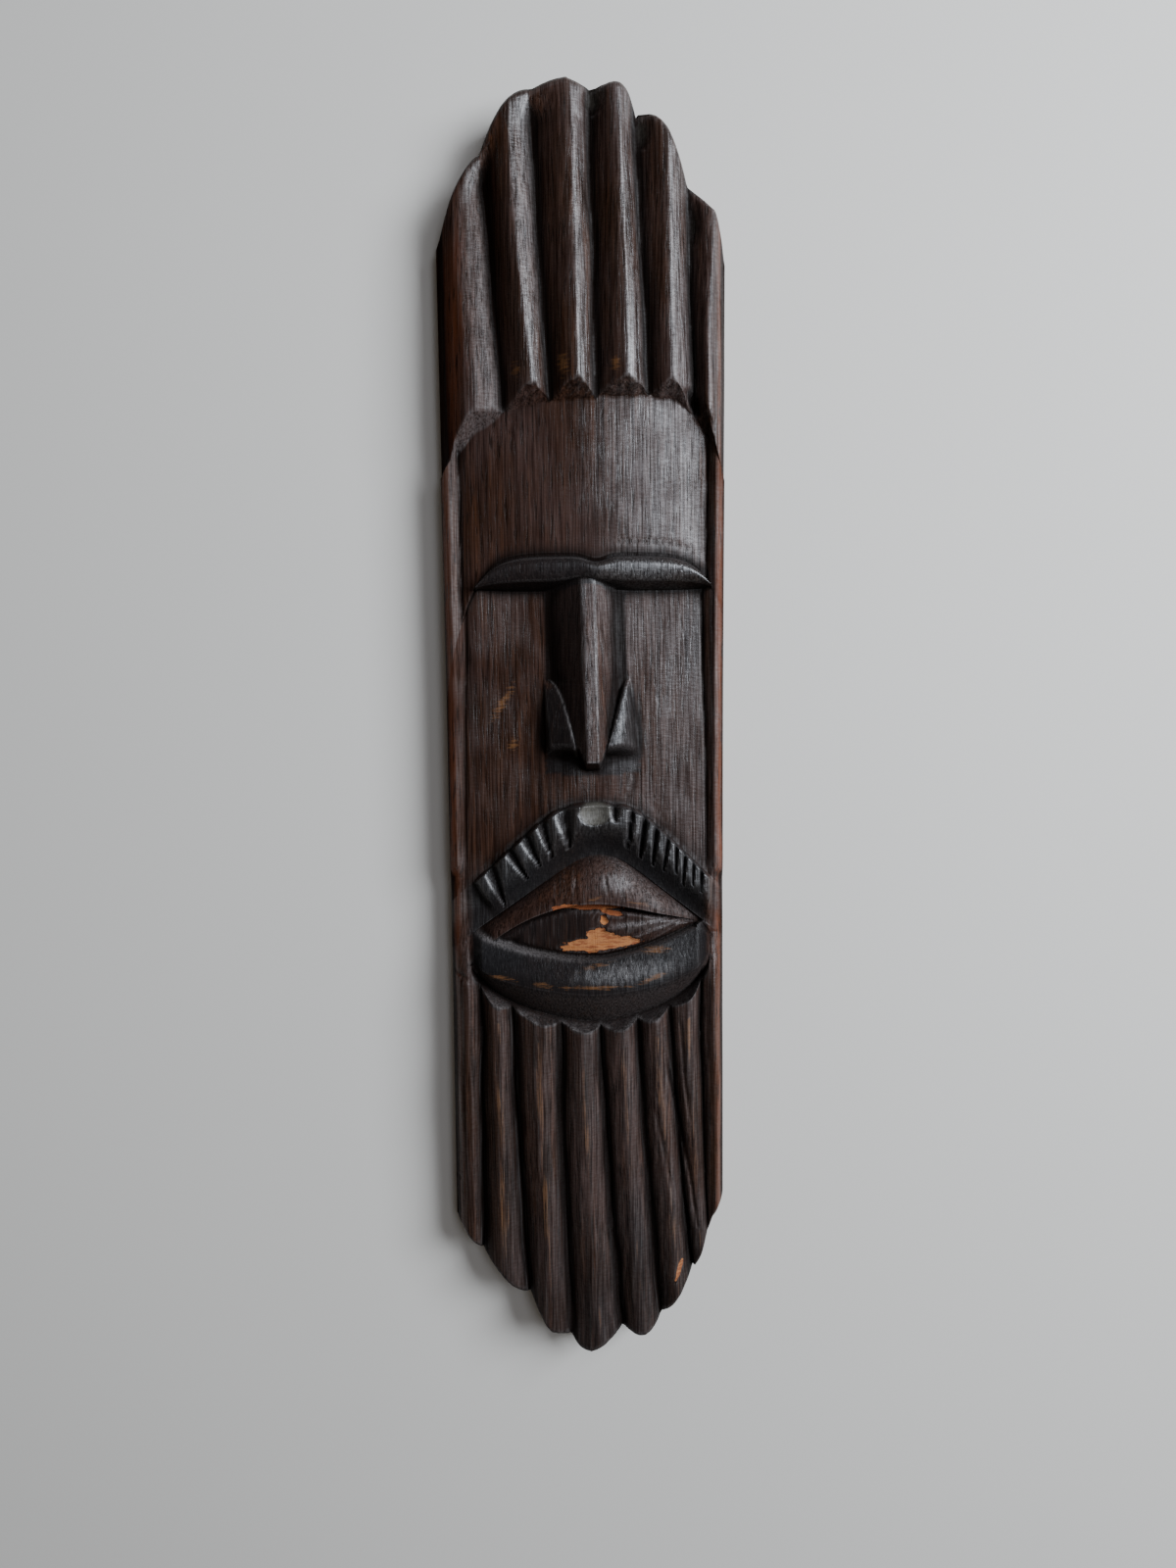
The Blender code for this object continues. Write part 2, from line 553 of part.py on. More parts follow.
def lip_curve(x, bottom):
    """Lower outline of the lip through its two ends and this lowest point."""
    left = x < LOWER_LIP_X
    end = LOWER_LIP_LEFT if left else LOWER_LIP_RIGHT
    level = LOWER_LIP_LEFT_Y if left else LOWER_LIP_RIGHT_Y
    out = min(abs(x - LOWER_LIP_X) / end, 1.0)
    return level - (level - bottom) * (1.0 - out ** LIP_OUT_BEND) ** (1.0 / LIP_DOWN_BEND)


def lip_reach(x, fade):
    """1 along the lips, and 0 past their ends, over this length."""
    left, right = LOWER_LIP_X - LOWER_LIP_LEFT, LOWER_LIP_X + LOWER_LIP_RIGHT
    return min(smooth(left, left + fade, x), smooth(-right, fade - right, -x))


def lips(x, y, around):
    """Lips and the wood between them; around is the surface beside them."""
    lip_line = moustache_edges(x)[1]
    upper, lower = mouth_edges(x)
    outer = lip_curve(x, LOWER_LIP_BOTTOM)
    if y > lip_line or y < outer:
        return around
    fall = LIP_FALL * across(x, y) ** 2
    crest = min(lip_curve(x, LOWER_LIP_CREST), lower - LIP_LEAST)
    if y > upper and y > lower:
        breadth = max(lip_line - max(upper, lower), LIP_LEAST)
        peak = mix(LIPLINE_HEIGHT, UPPER_LIP_HEIGHT, smooth(0.0, UPPER_LIP_FULL, breadth))
        lift = math.sin(math.pi / 2 * (lip_line - y) / breadth) ** UPPER_LIP_FULLNESS
        top = mix(LIPLINE_HEIGHT, peak, lift)
    elif y > lower:
        near = min(upper - y, y - lower)
        top = MOUTH_HEIGHT - MOUTH_EDGE_DROP * bell(near, MOUTH_EDGE_WIDTH)
    elif y > crest:
        share = (lower - y) / (lower - crest)
        top = mix(LOWER_LIP_INNER, LOWER_LIP_HEIGHT, math.sin(math.pi / 2 * share))
    else:
        share = (crest - y) / max(crest - outer, LIP_LEAST)
        top = mix(LOWER_LIP_HEIGHT, LOWER_LIP_FOOT, min(share, 1.0) ** LOWER_LIP_BEND)
    return mix(around, top - fall, lip_reach(x, LIP_FADE))


def lip_foot(x, y):
    """Height of the lower edge of the lower lip."""
    return LOWER_LIP_FOOT - LIP_FALL * across(x, y) ** 2


def hairline(x, y):
    """Upper edge of the forehead."""
    side = x / half_width(y)
    if side < 0.0:
        fall = HAIRLINE_LEFT_DROP * (-side) ** HAIRLINE_LEFT_CORNER
    else:
        fall = HAIRLINE_RIGHT_DROP * side ** HAIRLINE_RIGHT_CORNER
    return HAIRLINE_MIDDLE + HAIRLINE_RISE * side - fall


def cut_slope(x, y):
    """Steepness of the cut under the hair."""
    side = (x / half_width(y) + 1.0) / 2
    return mix(HAIR_CUT_SLOPE_LEFT, HAIR_CUT_SLOPE_RIGHT, side)


def upper_face(x, y):
    """Forehead and hair with the slanting cut between them."""
    panel = max(forehead(x, y), rim(x, y))
    edge = hairline(x, y)
    if y <= edge:
        return panel
    return min(hair(x, y), panel + cut_slope(x, y) * (y - edge))


def lower_face(x, y):
    """Cheeks above and beard below, with the lips between them."""
    cheek = max(cheeks(x, y), rim(x, y))
    outer = lip_curve(x, LOWER_LIP_BOTTOM)
    locks = beard(x, y)
    if y < outer:
        start = lip_foot(x, y) + BEARD_CUT_SLOPE * (outer - y)
        locks = mix(locks, min(locks, start), lip_reach(x, LIP_CUT_FADE))
    return mix(cheek, locks, smooth(BEARD_START, BEARD_COMPLETE, y))


def edge_rounding(x, y):
    """How far the front falls close to the outline."""
    side = 1.0 - min((half_width(y) - abs(x)) / SIDE_ROUND, 1.0)
    end = 1.0 - min(min(top_edge(x) - y, y - bottom_edge(x)) / END_ROUND, 1.0)
    return max(SIDE_DROP * side * side, END_DROP * end * end)


def front(x, y):
    """Height of the carved front above the flat back."""
    if y > brow_edges(x)[0]:
        height = upper_face(x, y)
    else:
        around = lower_face(x, y)
        height = max(around, brow(x, y), nose(x, y), wing(x, y), moustache(x, y))
        if y < moustache_edges(x)[1]:
            height = lips(x, y, around)
    height -= edge_rounding(x, y)
    return max(height, SIDE_HEIGHT)


def hair_foot(x):
    """Line on which the slanting cut meets the locks of hair."""
    edge = hairline(x, HAIRLINE_MIDDLE)
    panel = max(forehead(x, edge), rim(x, edge))
    return edge + max(hair(x, edge) - panel, 0.0) / cut_slope(x, edge)


def beard_head(x):
    """Line on which the cut under the lip meets the locks of the beard."""
    edge = lip_curve(x, LOWER_LIP_BOTTOM)
    return edge - max(beard(x, edge) - lip_foot(x, edge), 0.0) / BEARD_CUT_SLOPE


def carved_lines(x):
    """Every carved line that runs across the mask, from the beard upwards."""
    upper_mouth, lower_mouth = mouth_edges(x)
    upper_band, lower_band = moustache_edges(x)
    brow_top, brow_foot = brow_edges(x)
    tip_end = NOSE_TIP - (NOSE_TIP_HEIGHT - CHEEK_HEIGHT) / NOSE_END_SLOPE
    lines = [
        bottom_edge(x),
        beard_head(x),
        lip_curve(x, LOWER_LIP_BOTTOM),
        lip_curve(x, LOWER_LIP_CREST),
        lower_mouth,
        upper_mouth,
        lower_band,
        upper_band,
        tip_end,
        NOSE_TIP,
        brow_foot,
        brow_top,
        hairline(x, HAIRLINE_MIDDLE),
        hair_foot(x),
        top_edge(x),
    ]
    for index in range(len(lines) - 2, 0, -1):
        lines[index] = min(lines[index], lines[index + 1] - LINE_GAP)
    return lines


def face_lines(y):
    """Every carved line that runs down the face, from left to right."""
    half = half_width(y)
    crest = half - RIM_CREST_IN
    foot = crest - (RIM_HEIGHT - CHEEK_HEIGHT) / RIM_SLOPE
    middle = nose_middle(y)[0]
    (left_wing, left_base), (right_wing, right_base) = wing_lines(y)
    half_crest = NOSE_CREST_WIDTH / 2
    left = [middle - out for out in (left_base, left_wing, half_crest)]
    right = [middle + out for out in (half_crest, right_wing, right_base)]
    return [-half, -crest, -foot] + left + right + [foot, crest, half]


def spread(lines, counts, share):
    """The x at this share of the columns, with counts of columns in each strip."""
    column = share * sum(counts)
    for index, count in enumerate(counts):
        if column <= count or index == len(counts) - 1:
            return mix(lines[index], lines[index + 1], min(column / count, 1.0))
        column -= count


def column_x(share, y, zone):
    """Columns follow the hair in zone 2, the face in zone 1, the beard in zone 0."""
    face = spread(face_lines(y), FACE_COLUMNS, share)
    if zone > 1.0:
        locks = hair_lines(y)
        even = [1] * (len(locks) - 1)
        return mix(face, spread(locks, even, share), zone - 1.0)
    locks = beard_lines(y)
    even = [1] * (len(locks) - 1)
    return mix(spread(locks, even, share), face, zone)


def row_places():
    """For each row: its band, its share of that band, and its zone."""
    places = []
    for band, (rows, low_zone, high_zone) in enumerate(BANDS):
        for row in range(rows):
            places.append((band, row / rows, mix(low_zone, high_zone, row / rows)))
    places.append((len(BANDS) - 1, 1.0, BANDS[-1][2]))
    return places


def carve_front(mesh):
    """A fine grid whose rows and columns follow the carved lines."""
    places = row_places()
    rows = len(places) - 1
    bmesh.ops.create_grid(mesh, x_segments=COLUMNS, y_segments=rows, size=1.0)
    for vert in mesh.verts:
        across_share = (vert.co.x + 1.0) / 2
        band, up_share, zone = places[round((vert.co.y + 1.0) / 2 * rows)]
        lines = carved_lines((across_share - 0.5) * WIDTH)
        y = mix(lines[band], lines[band + 1], up_share)
        x = column_x(across_share, y, zone)
        lines = carved_lines(x)
        y = mix(lines[band], lines[band + 1], up_share)
        vert.co = (x, y, front(x, y))


def close_back(mesh):
    """Walls down from the front edge, a broken edge, and the flat back."""
    for level, inward in ((BACK_CHAMFER, 0.0), (0.0, BACK_CHAMFER)):
        border = [edge for edge in mesh.edges if edge.is_boundary]
        made = bmesh.ops.extrude_edge_only(mesh, edges=border)["geom"]
        for vert in (item for item in made if isinstance(item, bmesh.types.BMVert)):
            vert.co.x *= 1.0 - inward / (WIDTH / 2)
            vert.co.y *= 1.0 - inward / (LENGTH / 2)
            vert.co.z = level
    border = [edge for edge in mesh.edges if edge.is_boundary]
    bmesh.ops.contextual_create(mesh, geom=border)
    bmesh.ops.recalc_face_normals(mesh, faces=mesh.faces)


def wood_material():
    material = bpy.data.materials.new("dark_stained_hardwood")
    material.use_nodes = True
    shader = material.node_tree.nodes["Principled BSDF"]
    shader.inputs["Base Color"].default_value = WOOD_COLOUR
    shader.inputs["Roughness"].default_value = WOOD_ROUGHNESS
    shader.inputs["Metallic"].default_value = 0.0
    return material


def carved_mask():
    """The whole mask, one piece of wood."""
    form = bmesh.new()
    carve_front(form)
    close_back(form)
    mesh = bpy.data.meshes.new("carved_mask")
    form.to_mesh(mesh)
    triangles = sum(len(face.verts) - 2 for face in form.faces)
    form.free()
    mesh.materials.append(wood_material())
    mask = bpy.data.objects.new("carved_mask", mesh)
    bpy.context.scene.collection.objects.link(mask)
    facets = mask.modifiers.new("Facets", "DECIMATE")
    facets.ratio = FACETS / triangles
    return mask


def main():
    for thing in list(bpy.data.objects):
        bpy.data.objects.remove(thing)
    carved_mask()


main()
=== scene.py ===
import math
from functools import lru_cache

import bmesh
import bpy
from mathutils import Matrix, Vector, noise


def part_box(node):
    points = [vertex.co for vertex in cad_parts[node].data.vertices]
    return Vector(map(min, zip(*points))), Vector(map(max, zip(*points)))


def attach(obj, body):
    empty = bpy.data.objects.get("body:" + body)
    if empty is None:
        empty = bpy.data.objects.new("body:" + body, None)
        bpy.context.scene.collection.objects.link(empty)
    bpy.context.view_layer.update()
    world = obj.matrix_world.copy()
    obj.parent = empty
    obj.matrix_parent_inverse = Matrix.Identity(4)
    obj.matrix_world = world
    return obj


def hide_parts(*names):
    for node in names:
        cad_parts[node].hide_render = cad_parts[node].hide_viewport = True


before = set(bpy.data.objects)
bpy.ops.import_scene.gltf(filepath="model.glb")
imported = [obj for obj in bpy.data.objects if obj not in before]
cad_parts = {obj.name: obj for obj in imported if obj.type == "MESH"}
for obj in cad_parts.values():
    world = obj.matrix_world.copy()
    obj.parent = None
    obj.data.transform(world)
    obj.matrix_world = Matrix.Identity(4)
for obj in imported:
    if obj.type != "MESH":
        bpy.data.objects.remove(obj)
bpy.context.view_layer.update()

cadLow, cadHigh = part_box("carved_mask")
mm = 0.001  # every size of the carving below is in millimetres
remember = lru_cache(maxsize=5000)

# The mask lies on its flat back: +Z comes out of the face, +Y points to the hair.


def smooth(low, high, value):
    share = min(max((value - low) / (high - low), 0), 1)
    return share * share * (3 - 2 * share)


def mix(first, second, share):
    return first + (second - first) * share


def bell(value, width):
    return math.exp(-(value / width) ** 2)


def quarterWave(share, fullness):
    return math.sin(math.pi / 2 * min(max(share, 0), 1)) ** fullness


# unevenness of hand work: smooth noise of about -1 to 1, stretched along the grain
def uneven(x, y, sizeX, sizeY, seed):
    return noise.noise(Vector((x / sizeX, y / sizeY, seed)))


# Plank

plank = {
    "length": (cadHigh.y - cadLow.y) / mm,
    "width": (cadHigh.x - cadLow.x) / mm,
    "waist": 0.8,  # how far each side draws in beside the nose
    "sideHeight": 11,  # thickness at the outer edge of the front
    "backChamfer": 1.0,
    "chamferTop": 0.3,  # the sides lean in by this where the chamfer starts
    "sideRound": 4.0,  # rounding along both sides, and how far it falls
    "sideDrop": 3.0,
    "endRound": 2.0,  # the same at the ends of the locks
    "endDrop": 1.4,
    "waves": 0.22,  # slow unevenness of the whole front
}
halfLength = plank["length"] / 2


@remember
def halfWidth(y):
    return plank["width"] / 2 - plank["waist"] * bell(y, plank["length"] / 4)


@remember
def across(x, y):
    return min(abs(x) / halfWidth(y), 1)


# Locks of hair and beard. Grooves are x at the upper and at the lower line.
# Each end of a lock is: distance back at its left side, at its furthest point
# and at its right side, the place of that point, and how square both sides are.

hair = {
    "crown": 26.5,  # crest of the middle locks at their foot
    "taper": 4.5,  # thinner by this at the top
    "fall": 6.5,  # lower by this at the sides
    "groove": 6.5,
    "fullWidth": 15,  # a narrower lock has shallower grooves
    "topLine": 220,
    "footLine": 135,
    "grooves": ((-37.3, -30.8), (-17.4, -12.9), (4.0, 5.2), (21.2, 25.5), (40.6, 43.2)),
    "crestTop": (0.40, 0.56, 0.70, 0.68, 0.66, 0.72),
    "crestFoot": (0.48, 0.68, 0.66, 0.66, 0.52, 0.42),
    "leftHollow": 0.40,  # how much the left flank is scooped
    "leftFullness": 1.05,
    "rightFullness": 0.75,
    "rightFacet": 0.5,  # how far the right side is a flat facet
    "ends": (
        (58.0, 25.5, 25.5, 1.00, 1.6, 1.0),
        (24.5, 2.8, 2.8, 1.00, 2.3, 1.0),
        (2.8, 0.0, 2.2, 0.60, 1.9, 0.6),
        (2.2, 1.6, 12.6, 0.42, 0.5, 4.5),
        (11.3, 11.3, 36.4, 0.00, 1.0, 2.9),
        (36.4, 46.0, 65.0, 0.66, 1.0, 1.7),
    ),
    "runout": 14,  # length in which a groove changes its depth at the top
    "endDepth": (1, 0.35, 0.35, 0.8, 0.8, 0.8, 1),
    "bend": 1,  # how late the grooves turn outwards
    "wander": 0.45,  # how far a groove wanders sideways
    "strokes": 0.30,  # long strokes of the gouge along each lock
    "strokeSize": (1.5, 40),
    "seed": 0,
}

beard = {
    "crown": 23,
    "taper": 2.0,
    "fall": 4.5,
    "groove": 6.0,
    "fullWidth": 14,
    "topLine": -100,
    "footLine": -240,
    "grooves": (
        (-43.3, -45.4), (-30.9, -24.6), (-11.5, -8.2), (4.6, 13.2),
        (20.0, 29.2), (33.0, 45.6), (45.8, 50.6),
    ),
    "bend": 1.35,
    "crest": 0.55,
    "crestWander": 0.16,
    "fullness": 0.62,
    "ridge": 0.3,  # how far a lock is a roof with a ridge instead of a round
    "roofSteep": 1.08,
    "ends": (
        (57.5, 44.2, 44.2, 1.00, 1.3, 1.0),
        (44.2, 24.2, 24.2, 1.00, 1.5, 1.0),
        (24.2, 8.6, 5.8, 0.55, 1.4, 1.0),
        (5.8, 0.0, 9.4, 0.38, 3.0, 1.2),
        (9.4, 6.9, 13.6, 0.45, 1.6, 2.4),
        (14.6, 16.5, 39.9, 0.15, 1.0, 1.25),
        (39.9, 39.9, 57.0, 0.00, 1.0, 1.1),
        (57.0, 57.0, 66.0, 0.00, 1.0, 1.1),
    ),
    "wander": 0.75,
    "strokes": 0.46,
    "strokeSize": (1.5, 32),
    "seed": 20,
    "runOn": 0.4,  # share of its run that a groove goes on past its start
}


def grooveLines(locks, y):
    share = max((locks["topLine"] - y) / (locks["topLine"] - locks["footLine"]), -beard["runOn"])
    turn = math.copysign(abs(share) ** locks["bend"], share)
    half = halfWidth(y)
    lines = [-half]
    for number, (first, last) in enumerate(locks["grooves"]):
        line = mix(first, last, turn) + locks["wander"] * uneven(0, y, 1, 26, number * 7.3)
        lines.append(min(max(line, -half), half))
    return lines + [half]


@remember
def hairLines(y):
    return grooveLines(hair, y)


@remember
def beardLines(y):
    return grooveLines(beard, y)


# which lock x falls in, how far across that lock, and the lock's width
def lockShare(lines, x):
    last = len(lines) - 2
    index = next((item for item in range(last) if x <= lines[item + 1]), last)
    width = max(lines[index + 1] - lines[index], 0.9)
    return index, min(max((x - lines[index]) / width, 0), 1), width


def lockEnd(row, share):
    start, furthest, end, place, leftSquare, rightSquare = row
    if share < place:
        return mix(furthest, start, (1 - share / place) ** leftSquare)
    past = (share - place) / (1 - place) if place < 1 else 1
    return mix(furthest, end, past ** rightSquare)


@remember
def topEdge(x):
    index, share, _ = lockShare(hairLines(hair["topLine"]), x)
    return halfLength - lockEnd(hair["ends"][index], share)


def bottomEdge(x):
    index, share, _ = lockShare(beardLines(beard["footLine"]), x)
    return -halfLength + lockEnd(beard["ends"][index], share)


def grooveDepth(locks, width):
    return locks["groove"] * min(width / locks["fullWidth"], 1)


# surface of a lock from its profile, which is 0 in the groove and 1 on the crest
def lockHeight(locks, x, y, index, profile, thinner, depth):
    crest = locks["crown"] - locks["fall"] * across(x, y) ** 2 - locks["taper"] * thinner
    strokes = locks["strokes"] * uneven(x, y, *locks["strokeSize"], locks["seed"] + index * 3.1)
    return crest - depth * (1 - profile) + strokes * profile


def hairHeight(x, y):
    index, share, width = lockShare(hairLines(y), x)
    down = smooth(hair["topLine"], hair["footLine"], y)
    crestAt = mix(hair["crestTop"][index], hair["crestFoot"][index], down)
    if share < crestAt:
        rise = share / crestAt
        profile = mix(quarterWave(rise, hair["leftFullness"]), smooth(0, 1, rise), hair["leftHollow"])
    else:
        rise = (1 - share) / (1 - crestAt)
        profile = mix(quarterWave(rise, hair["rightFullness"]), rise, hair["rightFacet"])
    ended = hair["endDepth"][index if share < crestAt else index + 1]
    depth = grooveDepth(hair, width) * mix(ended, 1, smooth(0, hair["runout"], topEdge(x) - y))
    return lockHeight(hair, x, y, index, profile, smooth(hair["footLine"], halfLength, y), depth)


def beardHeight(x, y):
    index, share, width = lockShare(beardLines(y), x)
    crestAt = beard["crest"] + beard["crestWander"] * uneven(0, y, 1, 40, index * 5.7)
    rise = share / crestAt if share < crestAt else (1 - share) / (1 - crestAt)
    ridge = min(beard["roofSteep"] * rise, 1)
    profile = mix(quarterWave(rise, beard["fullness"]), ridge, beard["ridge"])
    thinner = smooth(beard["topLine"], -halfLength, y)
    return lockHeight(beard, x, y, index, profile, thinner, grooveDepth(beard, width))


# Face: rims, forehead and cheeks

face = {
    "forehead": 20,  # thickness at the middle of the forehead
    "foreheadFall": 6.5,
    "foreheadWaves": 0.25,
    "cheek": 14.5,  # thickness just under the brow
    "cheekRise": 1.5,  # thicker by this below the nose
    "cheekFall": 1.0,
    "cheekWaves": 0.22,
    "rim": 17.5,
    "rimCrestIn": 3.6,  # crest of the rim, in from the side
    "rimSlope": 0.75,
    "rimEnd": -46,
    "rimRunout": 14,
    "rimCut": 0.7,  # depth of the knife cut where rim and face meet
    "rimCutWidth": 0.45,
    "rimCutFade": 4,
    "chatter": 0.75,  # wavy tool line over the right half of the brow
    "chatterUp": 5.5,
    "chatterEnds": (8, 43),
    "chatterTooth": 0.45,
    "chatterStep": 1.6,
}


@remember
def rimHeight(x, y):
    crest = halfWidth(y) - face["rimCrestIn"]
    ended = smooth(face["rimEnd"] - face["rimRunout"], face["rimEnd"], y)
    height = mix(face["rim"] - face["rimSlope"] * face["rimRunout"], face["rim"], ended)
    return height - face["rimSlope"] * max(crest - abs(x), 0)


@remember
def foreheadHeight(x, y):
    flat = face["forehead"] - face["foreheadFall"] * across(x, y) ** 2
    return flat + face["foreheadWaves"] * uneven(x, y, 9, 30, 3.3)


@remember
def cheekHeight(x, y):
    low = smooth(brow["foot"], moustache["upper"]["top"], y)
    flat = face["cheek"] + face["cheekRise"] * low - face["cheekFall"] * across(x, y) ** 2
    return flat + face["cheekWaves"] * uneven(x, y, 8, 26, 8.8)


# a panel inside its rims, with a fine cut along the line where they meet
def panelHeight(panel, x, y):
    rim = rimHeight(x, y)
    fade = face["rimCutFade"]
    cut = face["rimCut"] * bell(panel - rim, face["rimCutWidth"])
    return max(panel, rim) - cut * smooth(face["rimEnd"] - fade, face["rimEnd"] + fade, y)


# Brow

brow = {
    "middle": 4.8,  # x of the dip between the two arcs
    "top": 75.6,
    "dip": 2.2,
    "dipWidth": 5.0,
    "leftReach": 46.5,
    "rightReach": 44.5,
    "endDrop": 11.5,
    "endLift": 1,  # how much its lower edge comes up at its ends
    "corner": 6.5,
    "foot": 62.4,
    "footRise": 2.2,
    "footWidth": 9,
    "height": 25,
    "fall": 4.5,
    "riseShare": 0.30,  # rounded upper part, as a share of its breadth
    "rollShare": 0.72,  # end of the roll and start of the undercut
    "rollDrop": 1.5,
    "fullness": 0.5,
    "cut": 0.7,  # knife cut along the upper edge
    "cutUp": 0.25,  # how far above the edge it is
    "cutWidth": 0.45,
    "cutEnd": 46,
    "cutFade": 8,
}


@remember
def browEdges(x):
    reach = brow["leftReach"] if x < brow["middle"] else brow["rightReach"]
    out = abs(x - brow["middle"]) / reach
    top = brow["top"] - brow["endDrop"] * out ** brow["corner"]
    top -= brow["dip"] * bell(x - brow["middle"], brow["dipWidth"])
    foot = brow["foot"] + brow["footRise"] * bell(x - nose["xRoot"], brow["footWidth"])
    return top, foot + brow["endLift"] * out ** brow["corner"]


def browHeight(x, y):
    top, foot = browEdges(x)
    if not foot < y < top:
        return 0
    crest = brow["height"] - brow["fall"] * across(x, y) ** 2
    share = (top - y) / (top - foot)
    if share < brow["riseShare"]:
        return mix(foreheadHeight(x, y), crest, quarterWave(share / brow["riseShare"], brow["fullness"]))
    if share < brow["rollShare"]:
        past = (share - brow["riseShare"]) / (brow["rollShare"] - brow["riseShare"])
        return crest - brow["rollDrop"] * past * past
    under = (share - brow["rollShare"]) / (1 - brow["rollShare"])
    return mix(crest - brow["rollDrop"], cheekHeight(x, y), under)


# knife cut just above the brow, deeper over its right arc
def browCut(x, y):
    top = browEdges(x)[0]
    deep = brow["cut"] * mix(0.5, 1, smooth(0, brow["cutFade"], x))
    ends = smooth(brow["cutEnd"], brow["cutEnd"] - brow["cutFade"], abs(x - brow["middle"]))
    return deep * bell(y - top - brow["cutUp"], brow["cutWidth"]) * ends


# Nose and its wings

nose = {
    "xRoot": 1.6,
    "xTip": 3.0,
    "root": 66,
    "tip": -4,
    "rootHeight": 22.5,
    "tipHeight": 29.6,
    "crestWidth": 4.8,
    "crestTilt": 0.10,  # how far the crest leans to the right
    "leftBase": 15.5,  # from the middle to the foot of the left face
    "rightBase": 11.5,
    "endSlope": 3.5,
    "arch": 5.5,  # the flanks end this much higher than the tip,
    "archWidth": 3.5,  # and rise to that height in this width
}

wings = {
    "top": 28,
    "foot": -2,
    "crestTop": (17.0, 14.2),  # crest at its top, left and right, out from the middle
    "crestFoot": (6.2, 4.9),  # the same at its foot
    "bend": (0.5, 1),  # how soon the crest comes in on its way down
    "baseTop": (18.8, 15.6),  # outer foot at the top, out from the middle
    "base": 18.8,  # the same lower down
    "height": 26.5,
    "fullness": 0.7,
    "wall": 0.88,  # share of the outer face at which its wall starts
    "wallHeight": (0.45, 0.15),  # height of that wall, as a share of the crest's
    "bow": (1.0, 2.4),  # roundness of the outer face: more is rounder
    "innerSlope": 1.9,
    "nostril": 5.0,  # how far the foot of the wing is hollowed
    "runOn": 1.3,
}


def noseMiddle(y):
    share = (nose["root"] - y) / (nose["root"] - nose["tip"])
    return mix(nose["xRoot"], nose["xTip"], share), min(max(share, 0), 1)


def noseHeight(x, y):
    middle, share = noseMiddle(y)
    top, foot = browEdges(x)
    if y > mix(foot, top, 1 - brow["rollShare"]) or abs(x - middle) > nose["leftBase"]:
        return 0
    crest = mix(nose["rootHeight"], nose["tipHeight"], share)
    base = nose["leftBase"] if x < middle else nose["rightBase"]
    halfCrest = nose["crestWidth"] / 2
    out = max(abs(x - middle) - halfCrest, 0)
    side = (crest - cheekHeight(x, y)) * out / (base - halfCrest)
    side += nose["crestTilt"] * min(max(x - middle, -halfCrest), halfCrest)
    end = nose["tip"] + nose["arch"] * smooth(0, nose["archWidth"], out)
    return crest - side - nose["endSlope"] * max(end - y, 0)


# crest and outer foot of the left and of the right wing, out from the middle
def wingLines(y):
    share = min(max((wings["top"] - y) / (wings["top"] - wings["foot"]), 0), 1)
    sizes = zip(wings["crestTop"], wings["crestFoot"], wings["bend"], wings["baseTop"])
    return [(mix(top, foot, share ** bend), mix(base, wings["base"], share))
            for top, foot, bend, base in sizes]


def wingHeight(x, y):
    middle = noseMiddle(y)[0]
    out = abs(x - middle)
    share = (wings["top"] - y) / (wings["top"] - wings["foot"])
    side = 0 if x < middle else 1
    crestOut, base = wingLines(y)[side]
    if share < 0 or share > wings["runOn"] or out > base:
        return 0
    cheek = cheekHeight(x, y)
    crest = mix(cheek, wings["height"], min(share, 1) ** wings["fullness"])
    past = (out - crestOut) / (base - crestOut)
    wall = mix(cheek, crest, wings["wallHeight"][side])
    if out < crestOut:
        top = crest - wings["innerSlope"] * (crestOut - out)
    elif past < wings["wall"]:
        top = mix(crest, wall, (past / wings["wall"]) ** wings["bow"][side])
    else:
        top = mix(wall, cheek, (past - wings["wall"]) / (1 - wings["wall"]))
    arch = 1 - ((out - (crestOut + base) / 2) / (base - crestOut)) ** 2
    return mix(top, cheek, smooth(wings["foot"] + wings["nostril"] * arch, wings["foot"] - 1, y))


# Moustache: each edge is a roof with its top, both slopes and a round ridge

moustache = {
    "upper": {"top": -19.4, "x": 4.3, "flat": 15.1, "left": 0.93, "right": 1.02, "round": 7},
    "lower": {"top": -41.0, "x": 5.3, "flat": 6.5, "left": 0.72, "right": 0.80, "round": 5},
    "height": 22,
    "fall": 3.0,
    "innerDrop": 4.5,  # how far the band sinks to the lip line
    "bend": 0.35,
    "step": 1.6,
    "runout": 3.0,
    "leftEnd": -43,
    "leftLean": 0.35,
    "rightEnd": 48,
}

# Notches: x of both sides at the upper edge, x and y of the lower end, share of
# the breadth taken by the left wall, and how late the sides come together

